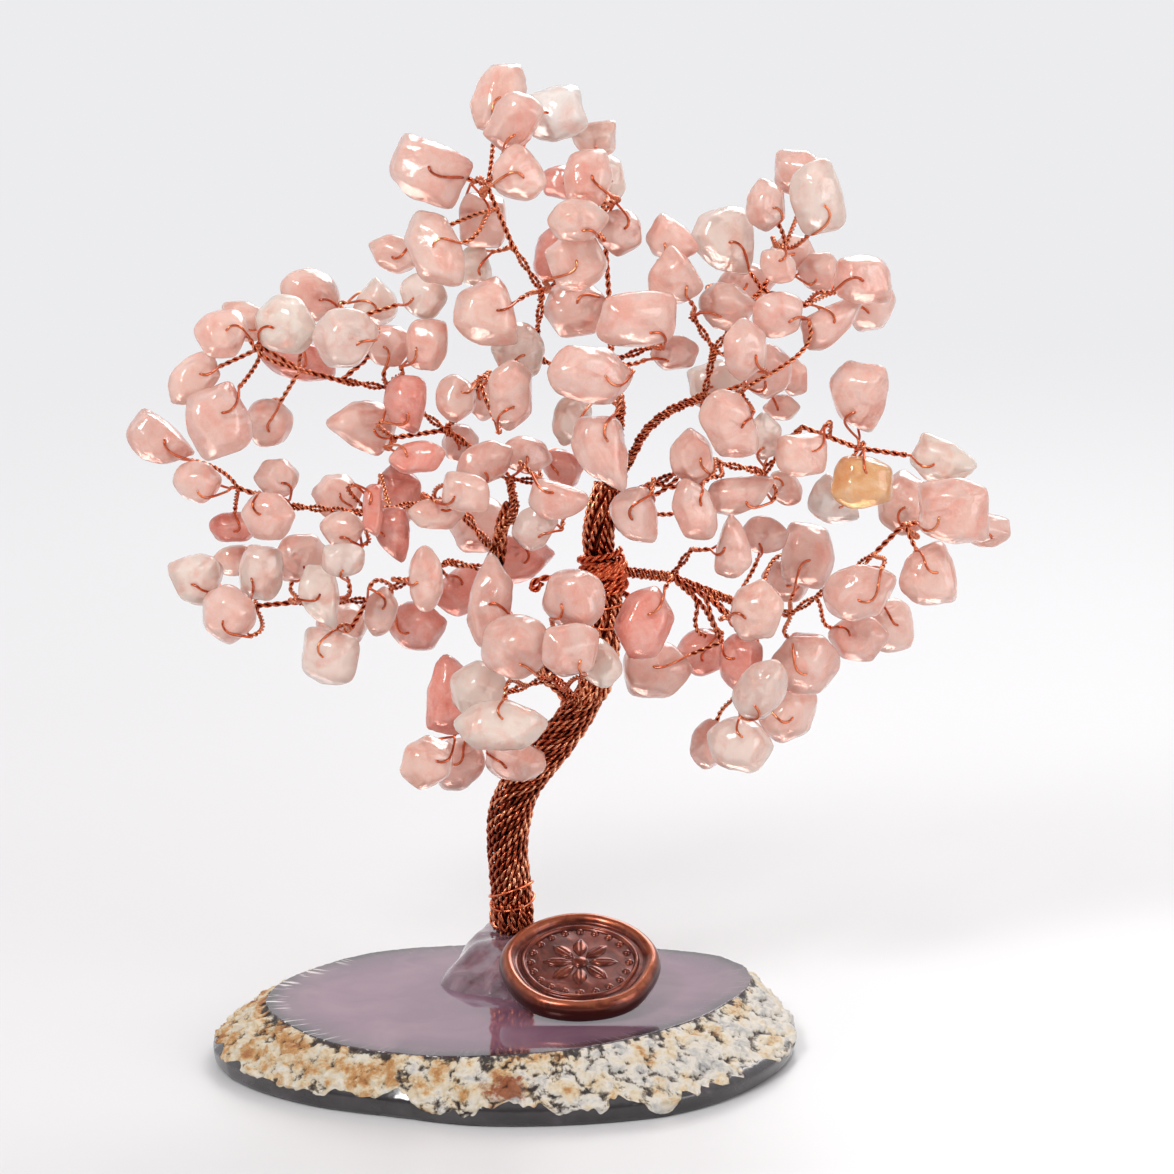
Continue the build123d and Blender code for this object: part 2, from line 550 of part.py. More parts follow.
BOUGHS = (
    Bough(
        "crown", (618.8, 437, 0.0),
        {"low": (621, 405, 1.0), "main": (612, 361, 2.0), "left": (541, 290, 4.0),
         "crest_low": (513, 247, 4.0), "crest": (487, 186, 1.0), "right": (657, 345, 3.0),
         "spire_low": (609, 297, 7.0), "spire": (603, 212, 5.0), "right_high": (654, 288, 10.0)},
        (
            fork_cord("root", "low", 1.3),
            fork_cord("low", "main", 1.25),
            fork_cord("main", "left", 0.95, (578, 368, 7.0), (542, 360, 6.0)),
            fork_cord("left", "crest_low", 0.8),
            fork_cord("crest_low", "crest", 0.7),
            fork_cord("main", "right", 0.9),
            fork_cord("right", "right_high", 0.7),
            fork_cord("main", "spire_low", 0.9),
            fork_cord("spire_low", "spire", 0.7),
        ),
        (
            Stone(514, 121, 60, 42, 60, -0.5, "block"),
            Stone(499, 96, 67, 33, 68, 0.6),
            Stone(428, 171, 66, 48, -15, 0.0, "block"),
            Stone(484, 221, 60, 50, 90, 0.6, "block"),
            Stone(522, 177, 58, 52, -30, -0.6, "wedge"),
            Stone(435, 250, 75, 38, -62, -0.5),
            Stone(477, 270, 45, 30, -60, 0.9, "shard"),
            Stone(490, 318, 70, 62, -50, -0.6, "wedge"),
            Stone(394, 254, 52, 33, -20, 0.5),
            Stone(577, 262, 50, 50, 30, -0.6, "block"),
            Stone(553, 255, 50, 24, 75, 0.9),
            Stone(577, 220, 56, 36, 0, -1.0),
            Stone(554, 114, 58, 52, 20, -0.2, "block"),
            Stone(597, 137, 36, 34, 40, 0.6, "shard"),
            Stone(588, 178, 50, 38, 100, -0.6, "block"),
            Stone(564, 184, 42, 24, -15, 1.0),
            Stone(608, 178, 48, 25, 105, 0.9),
            Stone(620, 232, 50, 46, -40, 0.2),
            Stone(673, 241, 48, 34, -20, 0.0, "wedge"),
            Stone(640, 319, 80, 46, 4, -1.0, "block"),
            Stone(575, 308, 48, 44, 10, 0.4),
            Stone(675, 353, 54, 38, 10, -0.2),
            Stone(589, 375, 84, 46, -8, -1.1),
            Stone(604, 453, 76, 50, -65, -1.2, "wedge"),
            Stone(572, 418, 56, 36, 80, 0.6),
        ),
    ),
    Bough(
        "right_upper", (633, 454, 0.0),
        {"rope": (704, 396, 2.0), "main": (714, 350, 3.0), "left": (692, 316, 1.0),
         "front": (741, 393, -3.0), "high": (762, 290, 6.0), "top": (786, 247, 4.0),
         "right": (803, 304, 3.0)},
        (
            fork_cord("root", "rope", 1.25, (646, 431, 0.0), (670, 411, 1.0)),
            fork_cord("rope", "main", 1.0),
            fork_cord("main", "left", 0.8),
            fork_cord("rope", "front", 0.8),
            fork_cord("main", "high", 0.85),
            fork_cord("high", "top", 0.7),
            fork_cord("high", "right", 0.7),
        ),
        (
            Stone(745, 350, 70, 48, 90, -1.0),
            Stone(730, 425, 80, 42, -60, -1.0),
            Stone(768, 370, 60, 44, 90, -0.1),
            Stone(778, 315, 58, 50, 0, -0.8, "block"),
            Stone(716, 386, 40, 34, 20, 0.6, "block"),
            Stone(727, 306, 48, 40, 0, 0.0),
            Stone(677, 280, 52, 46, -30, -0.4, "wedge"),
            Stone(727, 243, 62, 56, -60, 0.2, "wedge"),
            Stone(766, 206, 38, 24, 90, 0.0),
            Stone(817, 197, 62, 40, -70, -0.2, "block"),
            Stone(799, 173, 36, 32, 0, 0.7, "block"),
            Stone(792, 253, 48, 34, -15, 1.1),
            Stone(778, 267, 38, 28, -40, -0.5),
            Stone(820, 272, 40, 40, 0, 0.8),
            Stone(862, 280, 56, 42, 0, -0.3, "block"),
            Stone(873, 305, 48, 30, 65, 0.8),
            Stone(832, 322, 75, 36, 35, -0.3, "wedge"),
            Stone(795, 378, 44, 28, 90, 0.6),
            Stone(782, 408, 44, 28, 0, 0.6),
            Stone(745, 283, 50, 24, 0, 1.3),
        ),
    ),
    Bough(
        "right_middle", (634, 495, 0.0),
        {"left": (683, 469, 2.0), "main": (722, 464, 2.0), "coil": (764, 472, 3.0),
         "high": (802, 427, 3.0), "far": (858, 448, 2.0), "tip": (906, 455, 2.0)},
        (
            fork_cord("root", "left", 1.1),
            fork_cord("left", "main", 1.0),
            fork_cord("main", "coil", 0.9),
            fork_cord("coil", "high", 0.8),
            fork_cord("high", "far", 0.75),
            fork_cord("far", "tip", 0.7),
        ),
        (
            Stone(693, 458, 50, 36, 90, -0.5),
            Stone(694, 510, 64, 34, -65, -0.9),
            Stone(742, 493, 70, 36, 20, -0.4, "wedge"),
            Stone(803, 455, 56, 44, 0, -0.5, "block"),
            Stone(765, 437, 45, 26, 90, 0.0),
            Stone(861, 398, 62, 48, -80, 0.0, "wedge"),
            Stone(862, 482, 62, 52, 0, -0.4, "block"),
            Stone(944, 461, 56, 38, -10, 0.0, "wedge"),
            Stone(833, 503, 50, 32, -30, 0.4, "shard"),
            Stone(785, 488, 44, 30, -45, 0.7),
            Stone(636, 516, 46, 40, -60, -1.0, "wedge"),
        ),
    ),
    Bough(
        "right_lower", (636, 573, 0.0),
        {"main": (671, 577, 0.0), "left": (692, 549, 2.0), "mid": (735, 602, 3.0),
         "fan": (790, 614, 2.0), "far": (874, 554, 1.0), "tip": (904, 524, 0.0),
         "low": (739, 692, 4.0), "rib_low": (722, 642, 3.0), "rib_mid": (741, 634, -4.0)},
        (
            fork_cord("root", "main", 1.4),
            fork_cord("main", "left", 0.9),
            fork_cord("main", "mid", 1.2),
            fork_cord("mid", "fan", 1.0),
            fork_cord("fan", "far", 0.9, (836, 583, 2.0)),
            fork_cord("far", "tip", 0.75),
            fork_cord("mid", "low", 0.8, (757, 650, 7.0)),
            fork_cord("main", "rib_low", 0.7, (700, 603, 1.0)),
            fork_cord("main", "rib_mid", 0.7, (712, 601, -3.0)),
        ),
        (
            Stone(643, 624, 76, 50, 65, -1.0),
            Stone(655, 669, 70, 50, 0, 0.3),
            Stone(702, 652, 48, 40, -40, 0.7),
            Stone(733, 548, 60, 34, 90, -0.7, "wedge"),
            Stone(766, 535, 56, 40, 0, 0.4),
            Stone(808, 556, 66, 52, 90, -0.2, "block"),
            Stone(757, 611, 62, 46, 75, -0.8),
            Stone(787, 580, 46, 40, 0, 0.9),
            Stone(905, 505, 56, 42, 90, 0.7),
            Stone(953, 512, 64, 58, 10, -0.6, "block"),
            Stone(990, 530, 40, 20, 0, 0.7, "wedge"),
            Stone(931, 578, 56, 52, -50, 0.0, "wedge"),
            Stone(858, 593, 68, 45, 20, -0.5),
            Stone(889, 625, 42, 42, 0, 0.6, "block"),
            Stone(858, 637, 46, 34, 0, 0.1),
            Stone(806, 664, 58, 52, 0, -0.3),
            Stone(741, 662, 60, 40, 90, 0.0),
            Stone(761, 690, 70, 34, 60, -0.9),
            Stone(787, 713, 54, 44, 20, 0.4),
            Stone(741, 744, 56, 42, -10, -0.3),
            Stone(710, 744, 40, 30, 80, 0.7),
        ),
    ),
    Bough(
        "left_upper", (513, 496, 2.0),
        {"knee": (510, 479, 5.0), "right": (544, 482, 4.0), "main": (446, 430, 5.0),
         "mid": (480, 378, 5.0), "left": (388, 388, 5.0), "end": (392, 438, 2.0), "out": (342, 381, 4.0), "far": (300, 370, 3.0),
         "tip": (262, 347, 2.0), "high": (355, 318, 4.0)},
        (
            fork_cord("root", "knee", 1.2),
            fork_cord("knee", "main", 1.1, (480, 456, 9.0)),
            fork_cord("knee", "right", 0.8),
            fork_cord("main", "mid", 0.8, (468, 402, 9.0)),
            fork_cord("main", "left", 0.9),
            fork_cord("main", "end", 0.7),
            fork_cord("left", "out", 0.85),
            fork_cord("out", "far", 0.75),
            fork_cord("far", "tip", 0.7),
            fork_cord("out", "high", 0.7, (372, 350, 9.0)),
        ),
        (
            Stone(427, 345, 54, 44, 90, -0.6, "block"),
            Stone(424, 296, 57, 44, -20, 0.2),
            Stone(345, 338, 55, 48, 0, -0.6),
            Stone(388, 346, 50, 40, 0, 0.1),
            Stone(376, 302, 50, 44, 80, 0.7, "wedge"),
            Stone(310, 294, 56, 34, -30, 0.9),
            Stone(287, 325, 62, 50, -10, -0.2),
            Stone(305, 362, 66, 28, -15, 1.1, "wedge"),
            Stone(223, 333, 46, 40, 0, -0.2),
            Stone(243, 322, 28, 26, 0, 0.7, "block"),
            Stone(194, 378, 54, 30, 50, 0.0),
            Stone(219, 424, 68, 54, -60, -0.4, "block"),
            Stone(268, 423, 40, 40, 0, 0.5),
            Stone(407, 405, 66, 52, -80, -0.4, "wedge"),
            Stone(362, 424, 62, 44, 165, 0.1, "wedge"),
            Stone(456, 397, 46, 34, 90, -0.2),
            Stone(484, 400, 40, 30, 90, 0.3),
            Stone(510, 394, 74, 38, 90, -0.7),
            Stone(520, 350, 50, 46, 0, 0.4),
            Stone(418, 457, 68, 32, 12, -0.8),
            Stone(459, 442, 24, 22, 0, 0.7),
            Stone(526, 455, 56, 36, -20, 0.2),
            Stone(534, 528, 62, 40, 70, -0.8),
            Stone(519, 560, 56, 36, 0, 0.6),
            Stone(560, 500, 70, 42, 0, -1.0, "wedge"),
            Stone(563, 468, 40, 40, 0, 0.7),
        ),
    ),
    Bough(
        "left_middle", (483, 538, 2.0),
        {"main": (435, 500, 4.0),
         "left": (366, 513, 3.0), "out": (290, 506, 3.0), "far": (238, 488, 2.0)},
        (
            fork_cord("root", "main", 1.1, (468, 520, 5.0)),
            fork_cord("main", "left", 0.9),
            fork_cord("left", "out", 0.8),
            fork_cord("out", "far", 0.7),
        ),
        (
            Stone(160, 441, 66, 42, -20, 0.25, "wedge"),
            Stone(197, 482, 52, 46, 0, -0.3),
            Stone(277, 479, 42, 34, 0, 0.4),
            Stone(268, 517, 46, 36, 0, -0.5),
            Stone(234, 527, 50, 24, 0, 0.5),
            Stone(337, 496, 32, 28, 0, 0.6),
            Stone(343, 529, 46, 34, 0, -0.4),
            Stone(373, 510, 56, 17, 90, -0.6, "block"),
            Stone(398, 495, 50, 32, 90, 0.9),
            Stone(394, 533, 48, 30, -80, -0.3, "wedge"),
            Stone(436, 514, 60, 30, -5, -0.7),
            Stone(466, 493, 52, 44, 0, -0.9, "block"),
            Stone(484, 463, 66, 42, 20, 0.1),
            Stone(480, 525, 50, 44, 0, 1.1),
        ),
    ),
    Bough(
        "left_lower", (483, 568, 3.0),
        {"main": (447, 562, 5.0), "left": (368, 600, 4.0), "out": (300, 602, 3.0),
         "far": (255, 606, 2.0), "low": (350, 630, 2.0)},
        (
            fork_cord("root", "main", 1.0),
            fork_cord("main", "left", 0.9),
            fork_cord("left", "out", 0.8),
            fork_cord("out", "far", 0.7),
            fork_cord("left", "low", 0.7),
        ),
        (
            Stone(199, 576, 46, 40, 40, 0.0, "wedge"),
            Stone(237, 560, 44, 28, 0, 0.8),
            Stone(262, 573, 48, 40, 90, -0.2, "block"),
            Stone(229, 614, 56, 50, -30, -0.2),
            Stone(300, 558, 46, 34, 0, 0.6),
            Stone(321, 596, 60, 34, -70, -0.4, "wedge"),
            Stone(343, 560, 44, 36, 0, -0.5, "block"),
            Stone(343, 624, 44, 26, 0, 0.9),
            Stone(331, 657, 50, 44, 0, -0.3, "block"),
            Stone(382, 612, 58, 38, 75, -0.1),
            Stone(426, 580, 78, 34, 90, -0.8),
            Stone(417, 626, 48, 38, 0, 0.5),
            Stone(462, 588, 46, 34, 60, 0.9, "wedge"),
        ),
    ),
    Bough(
        "front", (567, 692, -5.0),
        {"main": (552, 676, -7.0), "left": (506, 693, -5.0), "low": (458, 732, -1.0),
         "high": (545, 636, -6.0)},
        (
            fork_cord("root", "main", 0.9),
            fork_cord("main", "left", 0.8),
            fork_cord("left", "low", 0.7),
            fork_cord("main", "high", 0.8),
        ),
        (
            Stone(575, 600, 58, 52, -40, -1.3),
            Stone(570, 650, 48, 42, 0, -1.9, "block"),
            Stone(598, 664, 44, 36, -40, -1.4, "block"),
            Stone(515, 645, 64, 60, 30, -1.5),
            Stone(490, 604, 74, 28, 85, -0.8),
            Stone(479, 690, 50, 42, 90, -0.9),
            Stone(450, 694, 68, 38, 95, 0.4, "wedge"),
            Stone(501, 725, 82, 38, 0, -1.6),
            Stone(517, 760, 56, 32, -5, -0.2, "wedge"),
            Stone(427, 762, 44, 38, 20, -0.3),
            Stone(460, 763, 54, 34, 60, 0.4),
        ),
    ),
)


class StoneShape:
    """A stone where it hangs: its middle, its three directions and its rings of corners."""

    def __init__(self, stone, number, depth):
        self.middle = place(stone.x, stone.y, depth)
        scale = mm_per_px * (self.middle[1] - eye()[1]) / (trunk_set_back - eye()[1])
        self.length, self.width = stone.length * scale, stone.width * scale
        thick = stone_depth_share * self.width
        self.half = min(max(thick, stone_least_depth), stone_most_depth) / 2
        turn = math.radians(stone.turn)
        along = np.array([math.cos(turn), 0.0, math.sin(turn)])
        across = np.array([-math.sin(turn), 0.0, math.cos(turn)])
        facing = np.array([0.0, -1.0, 0.0])
        nod = math.radians(stone_tilt) * math.sin(golden_angle * number)
        swing = math.radians(stone_tilt) * math.cos(golden_angle * number)
        along, facing = (along * math.cos(swing) + facing * math.sin(swing),
                         facing * math.cos(swing) - along * math.sin(swing))
        across, facing = (across * math.cos(nod) + facing * math.sin(nod),
                          facing * math.cos(nod) - across * math.sin(nod))
        self.along, self.across, self.facing = along, across, facing
        self.shares = stone_shares[stone.kind]
        drift = math.sin(golden_angle * number * 2)
        self.rings = [self.ring(stone_face_share, -self.half, -drift),
                      self.ring(1.0, 0.0, 0.0),
                      self.ring(stone_face_share, self.half, drift)]

    def ring(self, share, lift, drift):
        """One ring of corners, its size as a share of the stone's, lifted and shifted."""
        shift_share = (1 - stone_face_share) / 4
        middle = self.middle + self.facing * lift + self.along * (drift * shift_share * self.length / 2)
        reach, breadth = self.along * (share * self.length / 2), self.across * (share * self.width / 2)
        return [middle + reach * a + breadth * b for a, b in self.shares]

    def loop_route(self, fork, ball_radius):
        """The wire loop: up one face, through the hole and back, its ends towards a fork."""
        arm = fork - self.middle
        arm = arm - self.facing * np.dot(arm, self.facing)
        out = unit(arm)
        edge = max(np.dot(point - self.middle, out) for point in self.rings[1])
        lift = self.half + loop_lift
        hole = self.middle + out * (hole_place_share * edge)
        shoulder = self.middle + out * (stone_face_share * edge + loop_lift)
        tail = self.middle + out * (edge + loop_reach)
        direct = np.linalg.norm(tail - fork) < ball_radius + short_reach
        rim = self.middle + out * edge
        if direct:
            tail = fork + unit(rim - fork) * (ball_radius + seat_gap + wire_radius)
        route = [tail + self.facing * loop_spread, shoulder + self.facing * lift,
                 hole + self.facing * lift, hole - self.facing * lift,
                 shoulder - self.facing * lift, tail - self.facing * loop_spread]
        return route, tail, out, hole, direct

    def solid(self, hole):
        """The stone, drilled through for its wire."""
        reach = self.facing * (2 * self.half + hole_width)
        drill = cord([hole - reach, hole + reach], hole_width, 3)
        return Part(ring_solid(self.rings).wrapped) - Part(drill.wrapped)


def ball_rings(middle, radius):
    """The rings of a flat-sided ball."""
    rings = []
    for share, lift_share in ((0.46, -0.88), (1.00, 0.00), (0.46, 0.88)):
        ring = []
        for k in range(4):
            turn = math.pi * k / 2
            ring.append(middle + radius * np.array([share * math.cos(turn), share * math.sin(turn),
                                                    lift_share]))
        rings.append(ring)
    return rings


def fork_radius(bough, fork):
    """The radius of the ball at a fork, from the thickest cord that meets it."""
    return 1.5 * max([c[2] for c in bough.cords if fork in c[:2]] + [twig_radius])


def detours(start, end):
    """Places for a bend between two points, the straight way first."""
    yield None
    heading = unit(end - start)
    side = unit(np.cross(heading, UP)) if abs(heading[2]) < look_cos else np.array([1.0, 0.0, 0.0])
    over = np.cross(side, heading)
    for reach_share in (0.14, 0.27, 0.42, 0.6, 0.8, 1.0):
        for k in range(8):
            turn = math.pi * k / 4
            swing = math.cos(turn) * side + math.sin(turn) * over
            for share in (0.5, 0.75, 0.25):
                yield start + (end - start) * share + reach_share * detour_reach * swing


def leaving_directions(target, count=90, best=20):
    """Directions all round, the nearest to the target first."""
    spread = [target]
    for k in range(count):
        z = 1 - 2 * (k + 1 / 2) / count
        ring = math.sqrt(1 - z * z)
        spread.append(np.array([ring * math.cos(golden_angle * k), ring * math.sin(golden_angle * k), z]))
    return sorted(spread, key=lambda way: -np.dot(way, target))[:best]


class Tree:
    """Places every piece of the boughs clear of the others, then builds the nodes."""

    def __init__(self):
        self.crowd = Crowd()
        self.nodes = {}
        self.misses = []
        self.sheaths = []

    def put(self, node, solid):
        """Adds one solid to a node."""
        self.nodes.setdefault(node, []).append(solid)

    def add_trunk(self, guide, radius_at):
        """Keeps the room that the trunk takes."""
        self.sheaths.append((guide, radius_at))
        steps = 16
        for i in range(steps):
            a, b = guide.length * i / steps, guide.length * (i + 1) / steps
            radius = max(radius_at(a), radius_at(b))
            self.crowd.add("trunk", run_hulls([guide.at(a)[0], guide.at(b)[0]], radius)[0], 0)

    def warn(self, name, blockers):
        """Notes what a piece placed by hand comes too near to."""
        if blockers:
            self.misses.append(f"{name}: {sorted(set(self.crowd.names[i] for i in blockers))}")

    def seat_root(self, bough):
        """Slides a bough's root along its first run until it stands just off the trunk."""
        start, end, radius, bends = bough.cords[0]
        root = stand(*bough.root)
        onward = stand(*bends[0]) if bends else stand(*bough.forks[end])
        heading = unit(onward - root)
        ring = [point - root for point in cord_rings([root, onward], radius, 6)[0]]
        steps = 80
        seat = None
        for i in range(steps):
            spot = root + heading * root_slide * (1 - 2 * i / steps)
            room = min(guide.clearance(spot + arm, radius_at)
                       for guide, radius_at in self.sheaths for arm in ring)
            if room < root_gap:
                break
            seat = spot
        if seat is None:
            self.misses.append(f"{bough.name} root finds no seat")
            return root
        return seat

    def add_cords(self, number, bough):
        """The bough's cords and the balls at its forks, and where twigs can leave them."""
        spots = {name: stand(*spot) for name, spot in bough.forks.items()}
        spots["root"] = self.crowd.roots[number]
        balls = {name: fork_radius(bough, name) for name in bough.forks}
        own = {}
        starts = []
        for name, radius in balls.items():
            rings = ball_rings(spots[name], radius)
            corners = [point for ring in rings for point in ring]
            self.warn(f"{bough.name} fork {name}", self.crowd.blockers(corners, number, seat_gap))
            own[name] = self.crowd.add(f"{bough.name} fork {name}", corners, number)
            starts.append((spots[name], None, radius, own[name]))
            self.put(f"{bough.name}_forks", ring_solid(rings))
        for start, end, radius, bends in bough.cords:
            label = f"{bough.name} cord {start} to {end}"
            route = [spots[start]] + [stand(*bend) for bend in bends] + [spots[end]]
            lead = balls[start] + seat_gap if start in balls else 0.0
            route[0] = route[0] + unit(route[1] - route[0]) * lead
            route[-1] = route[-1] + unit(route[-2] - route[-1]) * (balls[end] + seat_gap)
            ends = (own.get(start), own[end])
            hulls = run_hulls(route, radius)
            joined = [i for i, other in enumerate(self.crowd.names)
                      if other.startswith(f"{bough.name} cord {start} ") or other.endswith(f" to {start}")
                      and other.startswith(bough.name) or start == "root" and other == "trunk"]
            for corners in hulls:
                self.warn(label, self.crowd.blockers(corners, number, seat_gap, joined + list(ends)))
            for corners, (a, b) in zip(hulls, zip(route, route[1:])):
                kept = self.crowd.add(label, corners, number)
                steps = int(np.linalg.norm(b - a) / attach_step)
                for i in range(1, steps):
                    starts.append((a + (b - a) * i / steps, unit(b - a), radius, kept))
            self.put(f"{bough.name}_cords", cord(route, radius, 5))
        return spots, balls, own, starts

    def hang_stone(self, number, bough, index, stone, spots, balls, own):
        """Finds the depth nearest to the stone's own at which it hangs clear."""
        fork = min(bough.forks, key=lambda name: math.hypot(bough.forks[name][0] - stone.x,
                                                            bough.forks[name][1] - stone.y))
        for step in range(90):
            shift = (step + 1) // 2 * (1 if step % 2 else -1) * depth_try
            shape = StoneShape(stone, number * 37 + index, stone.tier * tier_step + shift)
            route, tail, out, hole, direct = shape.loop_route(spots[fork], balls[fork])
            bare = [point for ring in shape.rings for point in ring]
            looped = bare + [point + side * wire_radius for point in route
                             for side in (shape.facing, -shape.facing, out)]
            skip = (own[fork],) if direct else ()
            if self.crowd.blockers(bare, number, stone_gap):
                continue
            legs = [[end + side * wire_radius for end in leg for side in (shape.facing, -shape.facing)]
                    for leg in (route[:2], route[-2:])]
            if any(self.crowd.near(leg, bare, 0.0) for leg in legs):
                continue
            if not self.crowd.blockers(looped, number, seat_gap, skip):
                break
        else:
            self.misses.append(f"{bough.name} stone {stone.x},{stone.y} finds no room")
            return None
        kept = self.crowd.add(f"{bough.name} stone {stone.x},{stone.y}", looped, number)
        self.put(f"{bough.name}_stones", shape.solid(hole))
        self.put(f"{bough.name}_loops", cord(route, wire_radius, 3))
        return tail, out, kept, bare, direct

    def twig_way(self, number, start, way, end, out, own_stone, bare):
        """A route for a twig that leaves a start one way, or None if all ways are shut."""
        middle, heading, radius, owner = start
        lean = abs(np.dot(way, heading)) if heading is not None else 0.0
        if lean > 0.8:
            return None
        lead = (radius + seat_gap + twig_radius * lean) / math.sqrt(1 - lean * lean)
        first = middle + way * lead
        knee = first + way * twig_straight
        tries = [[first, end]] if np.dot(unit(end - first), way) > 0.96 else []
        tries += [[first, knee, end] if bend is None else [first, knee, bend, end]
                  for bend in detours(knee, end)]
        lead_hull = run_hulls([first, knee], twig_radius)[0]
        shut = bool(self.crowd.blockers(lead_hull, number, seat_gap, (owner,)))
        if shut and len(tries[0]) > 2:
            return None
        for route in tries:
            if shut and len(route) > 2:
                return None
            ways = [unit(b - a) for a, b in zip(route, route[1:])]
            if np.dot(ways[-1], out) > 0.0 or any(np.dot(a, b) < 0.1 for a, b in zip(ways, ways[1:])):
                continue
            hulls = run_hulls(route, twig_radius)
            if self.crowd.near(hulls[-1], bare, seat_gap):
                continue
            skips = [(owner,)] + [()] * (len(hulls) - 1)
            skips[-1] = skips[-1] + (own_stone,)
            if not any(self.crowd.blockers(hull, number, seat_gap, skip)
                       for hull, skip in zip(reversed(hulls), reversed(skips))):
                return route
        return None

    def grow_twig(self, number, bough, label, hung, starts):
        """Finds a way for the twig from a fork or a cord to its stone's loop, past all else."""
        tail, out, own_stone, bare, direct = hung
        if direct:
            return
        end = tail + out * (seat_gap + wire_radius + twig_radius)
        near = sorted(starts, key=lambda start: np.linalg.norm(start[0] - end))[:12]
        for start in near:
            for way in leaving_directions(unit(end - start[0])):
                route = self.twig_way(number, start, way, end, out, own_stone, bare)
                if route is not None:
                    for hull in run_hulls(route, twig_radius):
                        self.crowd.add(label, hull, number)
                    self.put(f"{bough.name}_twigs", cord(route, twig_radius, 3))
                    return
        self.misses.append(f"{label} finds no way")

    def grow(self):
        """Cords first, then every stone, then every twig, the shortest first."""
        for number, bough in enumerate(BOUGHS, start=1):
            self.crowd.roots[number] = self.seat_root(bough)
        grown = [(number, bough, *self.add_cords(number, bough))
                 for number, bough in enumerate(BOUGHS, start=1)]
        hung = []
        for number, bough, spots, balls, own, starts in grown:
            for index, stone in enumerate(bough.stones):
                spot = self.hang_stone(number, bough, index, stone, spots, balls, own)
                if spot:
                    label = f"{bough.name} twig {stone.x},{stone.y}"
                    hung.append((number, bough, label, spot, starts))
        hung.sort(key=lambda item: min(np.linalg.norm(item[3][0] - start[0]) for start in item[4]))
        for item in hung:
            self.grow_twig(*item)


def trunk_pieces():
    """The trunk's core and the cords laid and wound on it, with its left limb."""
    trunk, limb = Guide(trunk_places), Guide(limb_places)
    high = trunk.distance_at_height(shoulder_px)
    strand_top = trunk.distance_at_height(strand_top_px)
    knot = trunk.distance_at_height(knot_px)
    lay = trunk_core_radius + cord_radius + lay_slack
    upper_lay = trunk_upper_core_radius + cord_radius + strand_gap

    def core_radius(distance):
        """The core's radius: full up to the shoulder, thinner above, thinnest at the top."""
        if distance <= high:
            return trunk_core_radius
        if distance <= strand_top:
            return trunk_upper_core_radius
        return trunk_top_radius

    def outer_radius(distance):
        """The trunk's radius over its cords."""
        knot_room = knot_turns * knot_pitch / 2 + cord_radius
        if abs(distance - knot) < knot_room:
            return upper_lay + 3 * cord_radius + strand_gap
        if distance <= high:
            return lay + cord_radius
        if distance <= strand_top:
            return upper_lay + cord_radius
        return trunk_top_radius

    pieces = {}
    cores = []
    half_gap = core_gap / 2
    stretches = ((foot_rise, high - half_gap, 10), (high + half_gap, strand_top - half_gap, 8),
                 (strand_top + half_gap, trunk.length, 3))
    for start, end, count in stretches:
        route = [trunk.at(start + (end - start) * i / count)[0] for i in range(count + 1)]
        cores.append(cord(route, core_radius((start + end) / 2), 6))
    pieces["trunk_core"] = cores

    lean = math.radians(lower_strand_lay)
    start, end = foot_rise + cord_radius * math.sin(lean), high - cord_radius
    turns = (end - start) * math.tan(lean) / (2 * math.pi * lay)
    lower = []
    for k in range(lower_strand_count):
        phase = 2 * math.pi * k / lower_strand_count
        lower.append(cord(helix(trunk, start, end, lay, turns, 14, phase), cord_radius))
    pieces["trunk_lower_strands"] = lower

    upper = []
    for k in range(upper_strand_count):
        phase = 2 * math.pi * k / upper_strand_count
        upper.append(cord(helix(trunk, high + cord_radius + seat_gap, strand_top, upper_lay,
                                upper_strand_turns, 7, phase), cord_radius))
    pieces["trunk_upper_strands"] = upper

    knot_lay = (upper_lay + 2 * cord_radius + strand_gap) / math.cos(math.pi / turn_points)
    knot_half = knot_turns * knot_pitch / 2
    turns = helix(trunk, knot - knot_half, knot + knot_half, knot_lay, knot_turns,
                  knot_turns * turn_points, 0.0)
    pieces["trunk_knot"] = [cord(turns, cord_radius)]
    print("least gap between turns of the knot", round(least_gap(turns, cord_radius, 6), 2))

    bindings = []
    for y_px, ground in ((foot_binding_px, lay), (high_binding_px, upper_lay)):
        spot = trunk.distance_at_height(y_px)
        reach = (ground + cord_radius + binding_radius + strand_gap) / math.cos(math.pi / turn_points)
        half = binding_turns * binding_pitch / 2
        bindings.append(cord(helix(trunk, spot - half, spot + half, reach, binding_turns,
                                   binding_turns * turn_points, 1.0), binding_radius))
    pieces["trunk_bindings"] = bindings

    strands = []
    for k in range(limb_strand_count):
        phase = 2 * math.pi * k / limb_strand_count
        route = helix(limb, 0.0, limb.length, limb_strand_radius, limb_turns, 10, phase)
        strands.append(cord(route, cord_radius))
    pieces["trunk_left_limb"] = strands
    return pieces, trunk, limb, outer_radius


tree = Tree()
trunk_nodes, trunk_guide, limb_guide, trunk_radius = trunk_pieces()
tree.add_trunk(trunk_guide, trunk_radius)
tree.add_trunk(limb_guide, lambda distance: limb_strand_radius + cord_radius)
tree.grow()
nodes = {"agate_slice": [agate_slice()], "resin_mound": [resin_mound()], "wax_seal": [wax_seal()]}
nodes.update(trunk_nodes)
nodes.update(tree.nodes)
for name, solids in nodes.items():
    shape = solids[0] if len(solids) == 1 else Compound(children=solids)
    shape.label = name
    export_step(shape, f"parts/{name}.step")
for miss in tree.misses:
    print("crowded:", miss)
print("stones", sum(len(bough.stones) for bough in BOUGHS), "nodes", len(nodes))
for number, bough in enumerate(BOUGHS, start=1):
    print(bough.name, "bends at", [round(float(value), 3) for value in tree.crowd.roots[number]])
